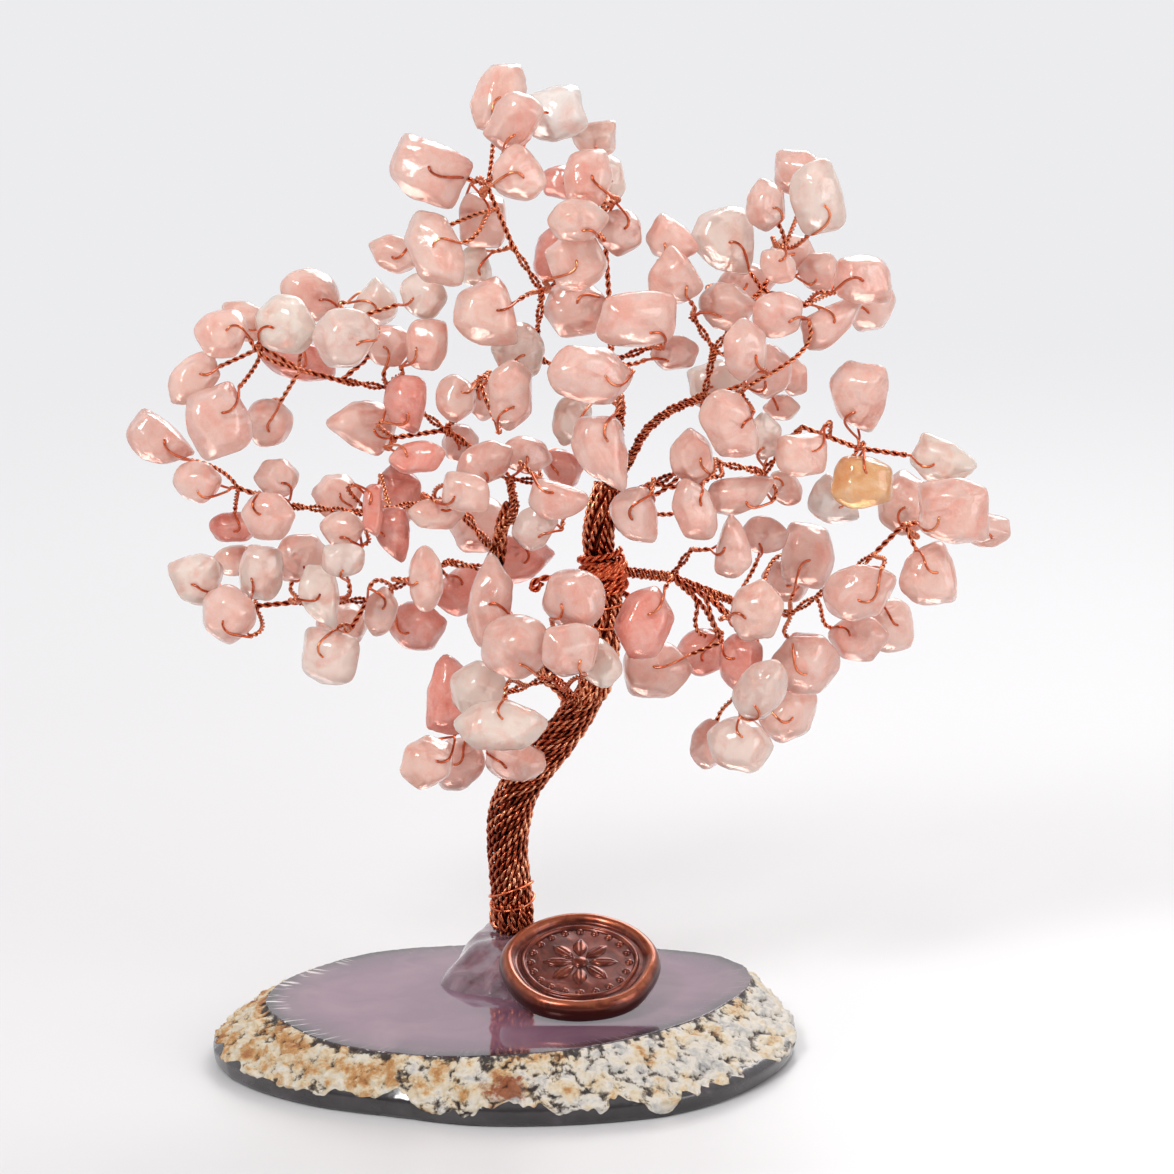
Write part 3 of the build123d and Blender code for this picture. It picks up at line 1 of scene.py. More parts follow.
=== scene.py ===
"""The looks of a gemstone tree ornament.

Rose quartz chips hang on boughs of twisted copper wire. The boughs leave a trunk of wire
pairs laid in one bundle, which stands in a resin mound on a polished agate slice, with a
stamped wax seal leaning on the mound. Lengths are in millimetres up to the finished mesh.
"""

import json
import logging
import math
from collections import defaultdict
from dataclasses import dataclass, field
from enum import Enum
from typing import Optional, Sequence

import bpy
import numpy as np
from bpy.types import Material, NodeSocket, Object
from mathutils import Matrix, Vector, noise

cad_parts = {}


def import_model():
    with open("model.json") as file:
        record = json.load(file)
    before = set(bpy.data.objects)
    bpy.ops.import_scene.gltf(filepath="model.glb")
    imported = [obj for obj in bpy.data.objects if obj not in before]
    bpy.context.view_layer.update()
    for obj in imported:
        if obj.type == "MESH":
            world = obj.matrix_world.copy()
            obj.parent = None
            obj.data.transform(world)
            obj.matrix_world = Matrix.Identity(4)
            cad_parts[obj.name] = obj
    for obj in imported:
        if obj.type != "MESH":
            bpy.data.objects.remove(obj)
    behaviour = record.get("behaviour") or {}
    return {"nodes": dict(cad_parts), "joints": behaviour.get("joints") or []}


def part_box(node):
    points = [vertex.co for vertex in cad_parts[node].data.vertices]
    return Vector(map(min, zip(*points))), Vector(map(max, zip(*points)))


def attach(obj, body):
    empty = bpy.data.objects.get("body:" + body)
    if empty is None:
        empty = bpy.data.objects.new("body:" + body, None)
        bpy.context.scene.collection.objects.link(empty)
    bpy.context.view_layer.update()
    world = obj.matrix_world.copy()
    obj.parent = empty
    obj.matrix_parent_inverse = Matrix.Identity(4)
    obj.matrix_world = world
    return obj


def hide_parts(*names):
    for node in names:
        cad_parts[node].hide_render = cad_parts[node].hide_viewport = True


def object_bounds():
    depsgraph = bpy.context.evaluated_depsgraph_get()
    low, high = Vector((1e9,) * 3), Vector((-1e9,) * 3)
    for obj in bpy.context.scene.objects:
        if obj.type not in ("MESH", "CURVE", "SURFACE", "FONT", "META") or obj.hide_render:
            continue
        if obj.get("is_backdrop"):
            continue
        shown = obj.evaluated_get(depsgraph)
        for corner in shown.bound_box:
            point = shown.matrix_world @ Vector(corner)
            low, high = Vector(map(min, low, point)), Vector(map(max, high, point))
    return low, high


MM = 0.001
UP = np.array([0.0, 0.0, 1.0])
BOUGH_NAMES = ("crown", "right_upper", "right_middle", "right_lower",
               "left_upper", "left_middle", "left_lower", "front")
TRUNK_BODY = "trunk_and_base"
WIRE_SLOT = "copper_wire"
SAME_PLANE = 0.9999  # the least cosine between the normals of triangles that lie in one plane
CORD_SIDES, TWIG_SIDES, LAID_SIDES, CORE_SIDES = 5, 3, 4, 6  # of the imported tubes
Span = tuple[float, float]  # mostly a lowest and a highest value
log = logging.getLogger("gemstone_tree")


def unit(vector: np.ndarray) -> np.ndarray:
    """The same direction at a length of one, for one vector or for rows of them."""
    return vector / np.maximum(np.linalg.norm(vector, axis=-1, keepdims=True), 1e-9)


def swell(point: np.ndarray, size: float, seed: float) -> float:
    """A smooth random swell between about -1 and 1.

    Args:
        point: The place, in millimetres.
        size: The length of one swell, in millimetres.
        seed: A number that gives each piece swells of its own.

    Returns:
        The swell at that place.
    """
    return noise.noise(Vector(point / size) + Vector((seed, 1.7 * seed, -0.6 * seed)))


def swells(point: np.ndarray, *parts: tuple[float, float, float]) -> float:
    """The sum of several swells, each given by its height, its size and its seed."""
    return sum(height * swell(point, size, seed) for height, size, seed in parts)


def circle(count: int) -> np.ndarray:
    """Even bearings round a full turn, in radians."""
    return 2 * math.pi * np.arange(count) / count


def around(turns: np.ndarray, across: np.ndarray, over: np.ndarray) -> np.ndarray:
    """The directions at some turns, in radians, from one direction towards another."""
    return np.cos(turns) * across + np.sin(turns) * over


def lengths(rows: np.ndarray) -> np.ndarray:
    """The length of each row."""
    return np.linalg.norm(rows, axis=1)


def nearest(rows: np.ndarray, point: np.ndarray) -> int:
    """The number of the row that lies nearest to a point."""
    return int(np.argmin(lengths(rows - point)))


def marks_along(path: np.ndarray) -> np.ndarray:
    """How far along a path each of its samples lies."""
    return np.concatenate(([0.0], np.cumsum(lengths(np.diff(path, axis=0)))))


@dataclass(frozen=True)
class Picture:
    """The picture that the tree is seen in: its eye and its size."""
    side_px: float = 1174.0
    side_width: float = 255.2
    eye_distance: float = 800.0
    elevation: float = 12.5
    centre: tuple[float, float, float] = (17.6, 22.0, 98.8)

    @property
    def lean(self) -> float:
        """How far the view looks down, in radians."""
        return math.radians(self.elevation)

    @property
    def eye(self) -> np.ndarray:
        """The place of the eye, in millimetres."""
        back = np.array([0.0, -math.cos(self.lean), math.sin(self.lean)])
        return np.array(self.centre) + self.eye_distance * back

    def seen(self, point: np.ndarray) -> tuple[float, float]:
        """Where a point is seen.

        Args:
            point: The point, in millimetres.

        Returns:
            The picture place, in pixels from the left and from the top.
        """
        gap = point - self.eye
        forward = gap[1] * math.cos(self.lean) - gap[2] * math.sin(self.lean)
        rise = gap[1] * math.sin(self.lean) + gap[2] * math.cos(self.lean)
        scale = self.eye_distance / forward * self.side_px / self.side_width
        return self.side_px / 2 + gap[0] * scale, self.side_px / 2 - rise * scale

    def place(self, x_px: float, y_px: float, depth: float) -> np.ndarray:
        """The point seen at a picture place.

        Args:
            x_px: Pixels from the left.
            y_px: Pixels from the top.
            depth: How far behind the trunk's plane the point lies, in millimetres.

        Returns:
            The point, in millimetres.
        """
        mm_per_px = self.side_width / self.side_px
        across = (x_px - self.side_px / 2) * mm_per_px
        rise = (self.side_px / 2 - y_px) * mm_per_px
        line = np.array([across,
                         self.eye_distance * math.cos(self.lean) + rise * math.sin(self.lean),
                         rise * math.cos(self.lean) - self.eye_distance * math.sin(self.lean)])
        return self.eye + line * (self.centre[1] + depth - self.eye[1]) / line[1]

    def points(self, places: Sequence[tuple[float, float, float]]) -> np.ndarray:
        """The points seen at several picture places, each with its depth."""
        return np.array([self.place(*place) for place in places])

    def camera(self) -> None:
        """Makes the camera and gives it to the scene."""
        lens = bpy.data.cameras.new("picture_camera")
        lens.sensor_width = 36.0
        lens.lens = lens.sensor_width * self.eye_distance / self.side_width
        lens.clip_end = 50.0
        camera = bpy.data.objects.new("picture_camera", lens)
        camera.location = Vector(self.eye * MM)
        camera.rotation_euler = (math.radians(90.0 - self.elevation), 0.0, 0.0)
        bpy.context.scene.collection.objects.link(camera)
        bpy.context.scene.camera = camera


PICTURE = Picture()


@dataclass
class Solid:
    """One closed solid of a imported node, its corners welded, in millimetres."""
    points: np.ndarray
    triangles: np.ndarray
    plane_slack: float = 0.02

    def flat_groups(self) -> list[list[int]]:
        """Gathers the triangles that lie in one plane and touch.

        Returns:
            The groups, each with its triangles' numbers.
        """
        a, b, c = (self.points[self.triangles[:, k]] for k in range(3))
        normals = unit(np.cross(b - a, c - a))
        group = list(range(len(self.triangles)))

        def head(t: int) -> int:
            """Finds the first triangle of a group.

            Args:
                t: One of its triangles.

            Returns:
                The first one.
            """
            while group[t] != t:
                t = group[t]
            return t

        owners: dict[tuple[int, int], int] = {}
        for t, corners in enumerate(self.triangles.tolist()):
            for k in range(3):
                edge = tuple(sorted((corners[k], corners[k - 1])))
                if edge in owners and normals[owners[edge]] @ normals[t] > SAME_PLANE:
                    group[head(t)] = head(owners[edge])
                owners[edge] = t
        found: dict[int, list[int]] = defaultdict(list)
        for t in range(len(group)):
            found[head(t)].append(t)
        return list(found.values())

    def area(self, group: Sequence[int]) -> float:
        """The area of a group of triangles."""
        a, b, c = (self.points[self.triangles[group, k]] for k in range(3))
        return float(lengths(np.cross(b - a, c - a)).sum() / 2)

    def rings(self, sides: int) -> list[np.ndarray]:
        """Walks along a many-sided tube from one flat end to the other.

        Args:
            sides: How many sides the tube has.

        Returns:
            The corners of each ring, from the smaller end.
        """
        links: dict[int, set[int]] = defaultdict(set)
        for a, b, c in self.triangles.tolist():
            links[a].update((b, c))
            links[b].update((a, c))
            links[c].update((a, b))
        found = []
        for group in self.flat_groups():
            end = set(self.triangles[group].ravel().tolist())
            if len(end) != sides:
                continue
            levels, seen, edge = [sorted(end)], set(end), set(end)
            while len(seen) < len(self.points):
                edge = set().union(*(links[i] for i in edge)) - seen
                if len(edge) != sides:
                    break
                seen |= edge
                levels.append(sorted(edge))
            if len(seen) == len(self.points):
                found.append((self.area(group), levels))
        levels = min(found, key=lambda item: item[0])[1]
        return [self.points[level] for level in levels]

    def middle_line(self, sides: int) -> tuple[np.ndarray, float]:
        """The middles of a tube's rings, and its radius.

        Args:
            sides: How many sides the tube has.

        Returns:
            The middles in their order, and the radius over the corners.
        """
        rings = self.rings(sides)
        radius = float(lengths(rings[0] - rings[0].mean(axis=0)).mean())
        return np.array([ring.mean(axis=0) for ring in rings]), radius

    def planes(self) -> tuple[np.ndarray, np.ndarray, np.ndarray]:
        """The outer planes of a faceted stone, without the walls of its drilled hole.

        Returns:
            The stone's middle, the planes' normals, and their distances from it.
        """
        outer = self.points[np.unique(self.triangles)]
        centre = (outer.min(axis=0) + outer.max(axis=0)) / 2
        normals, distances = [], []
        for group in sorted(self.flat_groups(), key=self.area, reverse=True):
            a, b, c = self.points[self.triangles[group[0]]]
            normal = unit(np.cross(b - a, c - a))
            distance = float((a - centre) @ normal)
            if ((outer - centre) @ normal).max() < distance + self.plane_slack:
                normals.append(normal)
                distances.append(distance)
        return centre, np.array(normals), np.array(distances)


def solids_of(node: Object) -> list[Solid]:
    """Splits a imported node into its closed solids.

    Args:
        node: The node's object.

    Returns:
        Its solids, with corners at one place welded.
    """
    mesh = node.data
    mesh.calc_loop_triangles()
    raw = np.empty(len(mesh.vertices) * 3)
    mesh.vertices.foreach_get("co", raw)
    corners = np.empty(len(mesh.loop_triangles) * 3, np.int32)
    mesh.loop_triangles.foreach_get("vertices", corners)
    places = raw.reshape(-1, 3) / MM
    _, first, welded = np.unique(np.round(places * 1000).astype(np.int64), axis=0,
                                 return_index=True, return_inverse=True)
    points, triangles = places[first], welded.reshape(-1)[corners].reshape(-1, 3)
    labels = np.arange(len(points))
    while True:
        lowest = labels[triangles].min(axis=1)
        spread = labels.copy()
        np.minimum.at(spread, triangles.ravel(), np.repeat(lowest, 3))
        spread = spread[spread]
        if (spread == labels).all():
            break
        labels = spread
    found = []
    for label in np.unique(labels):
        members = np.flatnonzero(labels == label)
        order = np.full(len(points), -1)
        order[members] = np.arange(len(members))
        kept = triangles[labels[triangles[:, 0]] == label]
        found.append(Solid(points[members], order[kept]))
    return found


def smooth_line(points: np.ndarray, step: float) -> np.ndarray:
    """A smooth line through points, sampled at even steps.

    Args:
        points: The points in their order.
        step: The wanted length between samples.

    Returns:
        The samples, the first and last of them at the ends.
    """
    gaps = lengths(np.diff(points, axis=0))
    slopes = np.diff(points, axis=0) / gaps[:, None]
    ways = np.vstack((slopes[:1], slopes[:-1], slopes[-1:]))
    share = (gaps[1:] / (gaps[:-1] + gaps[1:]))[:, None]
    ways[1:-1] = slopes[:-1] * share + slopes[1:] * (1 - share)
    u = np.linspace(0.0, 1.0, 14, endpoint=False)[:, None]
    fine = [(2 * u**3 - 3 * u**2 + 1) * a + (3 * u**2 - 2 * u**3) * b
            + gap * ((u**3 - 2 * u**2 + u) * way_a + (u**3 - u**2) * way_b)
            for a, b, gap, way_a, way_b in zip(points, points[1:], gaps, ways, ways[1:])]
    dense = np.vstack(fine + [points[-1:]])
    marks = marks_along(dense)
    spots = np.linspace(0.0, marks[-1], max(3, int(round(marks[-1] / step)) + 1))
    return np.stack([np.interp(spots, marks, dense[:, k]) for k in range(3)], axis=1)


def headings(path: np.ndarray) -> np.ndarray:
    """The direction of a path at each of its samples."""
    return unit(np.gradient(path, axis=0))


def steady_across(path: np.ndarray) -> np.ndarray:
    """Directions across a path that turn no more than the path does.

    Args:
        path: The path's samples.

    Returns:
        One direction at each sample.
    """
    ways = headings(path)
    side = np.cross(ways[0], UP if abs(ways[0][2]) < 0.9 else np.array([1.0, 0.0, 0.0]))
    across = [unit(side)]
    for way in ways[1:]:
        across.append(unit(across[-1] - way * (across[-1] @ way)))
    return np.array(across)


def twisted(path: np.ndarray, across: np.ndarray, count: int, offset: float, pitch: float,
            phase: float) -> list[tuple[np.ndarray, np.ndarray]]:
    """The middle lines of strands that twist round a path.

    Args:
        path: The path's samples.
        across: A direction across it at each sample.
        count: How many strands there are.
        offset: How far each strand's middle stands off the path.
        pitch: The length of one full turn.
        phase: The first strand's turn at the start, in radians.

    Returns:
        For each strand its samples, and its direction away from the path.
    """
    marks = marks_along(path)
    over = np.cross(headings(path), across)
    strands = []
    for k in range(count):
        turn = (2 * math.pi * (marks / pitch + k / count) + phase)[:, None]
        out = around(turn, across, over)
        strands.append((path + offset * out, out))
    return strands


class Pile:
    """Points, faces and numbers for each point, gathered into one mesh."""
    blunt = 0.6  # how far a wire's end stands out, against its radius

    def __init__(self) -> None:
        """Starts an empty pile."""
        self.points: list[np.ndarray] = []
        self.faces: list[np.ndarray] = []
        self.kinds: list[np.ndarray] = []
        self.marks: dict[str, list[np.ndarray]] = defaultdict(list)
        self.count = 0

    def add(self, points: np.ndarray, faces: Sequence[np.ndarray], kind: int = 0,
            **marks: np.ndarray) -> None:
        """Adds points with their faces.

        Args:
            points: The points.
            faces: Tables of faces, each with as many corners in every row.
            kind: The number of the finish that the faces take.
            **marks: For each named mark, one number for all points, or a row for each.
        """
        self.points.append(points)
        for table in faces:
            self.faces.append(np.asarray(table) + self.count)
            self.kinds.append(np.full(len(table), kind))
        for name, values in marks.items():
            self.marks[name].append(np.full(len(points), values) if np.isscalar(values) else values)
        self.count += len(points)

    def tube(self, path: np.ndarray, across: np.ndarray, radius: float, sides: int, tone: float,
             hollow: float = 0.0) -> None:
        """Adds one round wire with blunt ends.

        Args:
            path: The wire's middle line.
            across: A direction across it at each sample.
            radius: The wire's radius.
            sides: How many sides it is drawn with.
            tone: How bright the wire is, from 0, dark, to 1, bright.
            hollow: How much of that the side away from the direction across loses, as painted shade.
        """
        ways = headings(path)
        across = unit(across - ways * (across * ways).sum(axis=1, keepdims=True))
        over = np.cross(ways, across)
        turns = circle(sides)
        ring = around(turns[None, :, None], across[:, None], over[:, None])
        body = (path[:, None] + radius * ring).reshape(-1, 3)
        tip = radius * self.blunt
        ends = np.stack((path[0] - ways[0] * tip, path[-1] + ways[-1] * tip))
        k = np.arange(sides)
        j = (k + 1) % sides
        last = (len(path) - 1) * sides
        caps = np.vstack((np.stack((j, k, np.full(sides, len(body))), axis=-1),
                          np.stack((last + k, last + j, np.full(sides, len(body) + 1)), axis=-1)))
        # Painted shade: the side that faces away from the direction across, towards a partner wire, is drawn
        # darker.
        lit = tone * (1 - hollow * (1 - np.cos(turns)) / 2)
        self.add(np.vstack((body, ends)), (*wheel(len(path), sides), caps),
                 tone=np.concatenate((np.tile(lit, len(path)), (tone, tone))))

    def piece(self, name: str, finishes: Sequence[Material]) -> Object:
        """Makes the pile one object.

        Args:
            name: The object's name.
            finishes: Its materials, in the order of the faces' kinds.

        Returns:
            The object, in metres.
        """
        mesh = bpy.data.meshes.new(name)
        points = np.vstack(self.points) * MM
        loops = np.concatenate([table.ravel() for table in self.faces]).astype(np.int32)
        totals = np.concatenate([np.full(len(table), table.shape[1]) for table in self.faces])
        starts = np.concatenate(([0], np.cumsum(totals)[:-1])).astype(np.int32)
        mesh.vertices.add(len(points))
        mesh.vertices.foreach_set("co", points.ravel().astype(np.float32))
        mesh.loops.add(len(loops))
        mesh.loops.foreach_set("vertex_index", loops)
        mesh.polygons.add(len(totals))
        mesh.polygons.foreach_set("loop_start", starts)
        mesh.polygons.foreach_set("material_index", np.concatenate(self.kinds).astype(np.int32))
        mesh.update(calc_edges=True)
        mesh.validate()
        for mark, tables in self.marks.items():
            values = np.concatenate(tables)
            wide = values.ndim > 1
            store = mesh.attributes.new(mark, "FLOAT_COLOR" if wide else "FLOAT", "POINT")
            if wide:
                values = np.hstack((values, np.ones((len(values), 1))))
            store.data.foreach_set("color" if wide else "value", values.ravel().astype(np.float32))
        mesh.shade_smooth()
        made = bpy.data.objects.new(name, mesh)
        for finish in finishes:
            mesh.materials.append(finish)
        bpy.context.scene.collection.objects.link(made)
        return made


def wheel(rings: int, sides: int, closed_start: bool = False,
          closed_end: bool = False) -> list[np.ndarray]:
    """The faces between rings of as many points.

    Args:
        rings: How many rings there are.
        sides: How many points each ring has.
        closed_start: Whether one face closes the first ring.
        closed_end: Whether one face closes the last ring.

    Returns:
        Tables of faces for Pile.add, with the rings' points stacked.
    """
    k = np.arange(sides)
    j = (k + 1) % sides
    rows = np.arange(rings - 1)[:, None] * sides
    tables = [np.stack((rows + k, rows + j, rows + sides + j, rows + sides + k), axis=-1).reshape(-1, 4)]
    if closed_start:
        tables.append(k[::-1][None])
    if closed_end:
        tables.append((k + (rings - 1) * sides)[None])
    return tables


def linear(hex_colour: str) -> tuple[float, float, float, float]:
    """Turns an sRGB hex colour to the linear colour that shaders take.

    Args:
        hex_colour: Six hex digits after a hash sign.

    Returns:
        Red, green, blue and an alpha of one.
    """
    shares = [int(hex_colour[k:k + 2], 16) / 255 for k in (1, 3, 5)]
    return tuple(s / 12.92 if s <= 0.04045 else ((s + 0.055) / 1.055) ** 2.4 for s in shares) + (1.0,)


class Shader:
    """A node tree, with short ways to the kinds of node that the finishes use."""

    def __init__(self, owner: bpy.types.ID) -> None:
        """Empties the tree of a material or a world.

        Args:
            owner: The material or world.
        """
        owner.use_nodes = True
        self.owner = owner
        self.tree = owner.node_tree
        self.tree.nodes.clear()

    def add(self, kind: str, output: str = "", inputs: Optional[dict] = None,
            stops: Sequence[tuple[float, str]] = (), **settings: object) -> Optional[NodeSocket]:
        """Adds one node with its settings and its links.

        Args:
            kind: The node's type, without its leading ShaderNode.
            output: The name of the output that is wanted, or nothing.
            inputs: For each input, a value, a hex colour, or the socket that is linked to it.
            stops: For a colour ramp, places along it and their hex colours.
            **settings: Attributes of the node itself.

        Returns:
            The wanted output.
        """
        made = self.tree.nodes.new("ShaderNode" + kind)
        for name, value in settings.items():
            setattr(made, name, value)
        for name, value in (inputs or {}).items():
            if isinstance(value, NodeSocket):
                self.tree.links.new(value, made.inputs[name])
            else:
                made.inputs[name].default_value = linear(value) if isinstance(value, str) else value
        for k, (place, colour) in enumerate(stops):
            elements = made.color_ramp.elements
            stop = elements[k] if k < 2 else elements.new(place)
            stop.position = place
            stop.color = linear(colour)
        return made.outputs[output] if output else None

    def place(self) -> NodeSocket:
        """The place in the piece, in metres."""
        return self.add("TexCoord", "Object")

    def across(self) -> NodeSocket:
        """How far to the right a place lies, in metres."""
        return self.add("SeparateXYZ", "X", {"Vector": self.place()})

    def mark(self, name: str, output: str = "Fac") -> NodeSocket:
        """A mark that the mesh holds for each of its points."""
        return self.add("Attribute", output, attribute_name=name)

    def noise(self, size: float, **more: float) -> NodeSocket:
        """A cloudy pattern, its clouds of a size in millimetres."""
        return self.add("TexNoise", "Fac", {"Vector": self.place(), "Scale": 1 / (size * MM), **more})

    def ramp(self, value: NodeSocket, *stops: tuple[float, str]) -> NodeSocket:
        """The colours laid along a number."""
        return self.add("ValToRGB", "Color", {"Fac": value}, stops)

    def span(self, value: NodeSocket, low: float, high: float, to_low: float = 0.0,
             to_high: float = 1.0, **settings: str) -> NodeSocket:
        """A number carried over from one span to another."""
        return self.add("MapRange", "Result", {"Value": value, "From Min": low, "From Max": high,
                                               "To Min": to_low, "To Max": to_high}, **settings)

    def mixed(self, share: object, one: object, other: object, how: str = "MIX") -> NodeSocket:
        """Two colours, mixed or multiplied by a share."""
        return self.add("MixRGB", "Color", {"Fac": share, "Color1": one, "Color2": other}, blend_type=how)

    def maths(self, how: str, *values: object) -> NodeSocket:
        """The outcome of one sum."""
        return self.add("Math", "Value", dict(enumerate(values)), operation=how)

    def bump(self, height: NodeSocket, strength: float, depth: float) -> NodeSocket:
        """A relief of a depth in millimetres."""
        return self.add("Bump", "Normal", {"Height": height, "Strength": strength, "Distance": depth * MM})

    def finish(self, inputs: dict) -> Material:
        """Gives the material its surface.

        Args:
            inputs: The values and sockets of its principled shader.

        Returns:
            The material.
        """
        self.add("OutputMaterial", inputs={"Surface": self.add("BsdfPrincipled", "BSDF", inputs)})
        return self.owner


class Tint(Enum):
    """The colours that rose quartz chips come in."""
    PALE = "#ffe6db"
    MID = "#ffd2c4"
    DEEP = "#f9ae9d"
    AMBER = "#fbc88e"
    CLEAR = "#fff0ea"


@dataclass(frozen=True)
class RoseQuartz:
    """Rose quartz, tumbled and polished: a milky, glossy, faintly veined translucent pink."""
    cloud_size: float = 6.0
    veil_size: float = 3.4
    dimple_size: float = 2.8
    dimple_depth: float = 0.6
    depth_of_light: float = 2.4

    def material(self) -> Material:
        """Makes the material. Each chip's own tint comes from its tint mark.

        Returns:
            The material.
        """
        shader = Shader(bpy.data.materials.new("rose_quartz_tumbled"))
        # Milky clouds a few millimetres across lighten the stone in patches, and the pink gathers in others.
        clouds = shader.noise(self.cloud_size, Detail=4.0, Roughness=0.6, Distortion=0.8)
        deep = shader.ramp(clouds, (0.32, "#f6c3b5"), (0.52, "#ffffff"))
        pinked = shader.mixed(0.5, shader.mark("tint", "Color"), deep, "MULTIPLY")
        milk = shader.ramp(clouds, (0.5, "#000000"), (0.75, "#a0a0a0"))
        milky = shader.mixed(milk, pinked, "#fcf1ec")
        # Healed cracks show as thin paler veils.
        veils = shader.noise(self.veil_size, Detail=2.5, Distortion=2.2)
        thread = shader.ramp(veils, (0.47, "#000000"), (0.5, "#6c6c6c"), (0.53, "#000000"))
        veined = shader.mixed(thread, milky, "#fff8f5")
        # Tumbling leaves faint dimples under the polish.
        dimples = shader.noise(self.dimple_size, Detail=3.0)
        return shader.finish({
            "Base Color": veined, "Roughness": 0.13, "IOR": 1.54, "Transmission Weight": 0.45,
            "Subsurface Weight": 0.7, "Subsurface Radius": (1.0, 0.88, 0.82),
            "Subsurface Scale": self.depth_of_light * MM, "Coat Weight": 0.35, "Coat Roughness": 0.03,
            "Normal": shader.bump(dimples, 0.5, self.dimple_depth)})


@dataclass(frozen=True)
class Copper:
    """Bare copper craft wire: bright where hands have rubbed it, with painted shade on each twisted wire's
    side towards its partner.
    """
    name: str
    bright: str
    mid: str
    dull: str
    roughness: float
    patch_size: float = 3.0
    scratch_size: float = 0.5

    def material(self) -> Material:
        """Makes the material. Each wire's own brightness comes from its tone mark, which also holds painted
        shade on the wire's inner side.

        Returns:
            The material.
        """
        shader = Shader(bpy.data.materials.new(self.name))
        # Handling leaves brown patches about 3 mm long on the wire.
        patches = shader.span(shader.noise(self.patch_size, Detail=3.0), 0.3, 0.7, -0.16, 0.16)
        # The tone mark carries each wire's own brightness and the painted shade on its inner side.
        worn_and_shaded = shader.ramp(shader.maths("ADD", shader.mark("tone"), patches),
                           (0.08, self.dull), (0.45, self.mid), (0.9, self.bright))
        # Fine scratches break up the gloss.
        scratches = shader.noise(self.scratch_size, Detail=2.0)
        rough = shader.span(scratches, 0.0, 1.0, self.roughness - 0.06, self.roughness + 0.1)
        return shader.finish({"Base Color": worn_and_shaded, "Metallic": 1.0, "Roughness": rough})


@dataclass(frozen=True)
class PolishedAgate:
    """Agate sawn and polished: a mauve-grey mirror, darker at its rim, with white crystal ticks."""
    dark_reach: float = 12.0
    drift_size: float = 16.0
    tick_width: float = 0.9
    tick_reach: float = 5.0
    ticks_end: Span = (-44.0, -32.0)

    def material(self) -> Material:
        """Makes the material. The edge mark says how far in from the rim a place lies.

        Returns:
            The material.
        """
        shader = Shader(bpy.data.materials.new("agate_polished_face"))
        edge = shader.mark("edge")
        # The stone is dark for the first millimetre inside the rind and clouds out to mauve.
        base = shader.ramp(shader.span(edge, 0.0, self.dark_reach),
                           (0.0, "#241c21"), (0.12, "#3a2e37"), (0.28, "#664c5c"), (1.0, "#7b586d"))
        drift = shader.noise(self.drift_size, Detail=4.0, Distortion=0.6)
        hazed = shader.mixed(shader.ramp(drift, (0.4, "#000000"), (0.75, "#9a9a9a")), base, "#b08d98")
        # White crystals stand in from the rim as short ticks, along the left of the face.
        spot = shader.add("CombineXYZ", "Vector", {"X": shader.mark("along"),
                                                   "Y": shader.maths("MULTIPLY", edge, 0.12)})
        strokes = shader.add("TexNoise", "Fac", {"Vector": spot, "Scale": 1 / self.tick_width,
                                                 "Detail": 1.0})
        ticks = shader.ramp(strokes, (0.56, "#000000"), (0.64, "#ffffff"))
        reach = shader.span(edge, 0.4 * self.tick_reach, self.tick_reach, 0.85, 0.0)
        side = shader.span(shader.across(), self.ticks_end[0] * MM, self.ticks_end[1] * MM, 1.0, 0.06)
        ticked = shader.maths("MULTIPLY", ticks, shader.maths("MULTIPLY", reach, side))
        return shader.finish({"Base Color": shader.mixed(ticked, hazed, "#efe4e2"), "Roughness": 0.06,
                              "IOR": 1.54, "Coat Weight": 0.45, "Coat Roughness": 0.02})


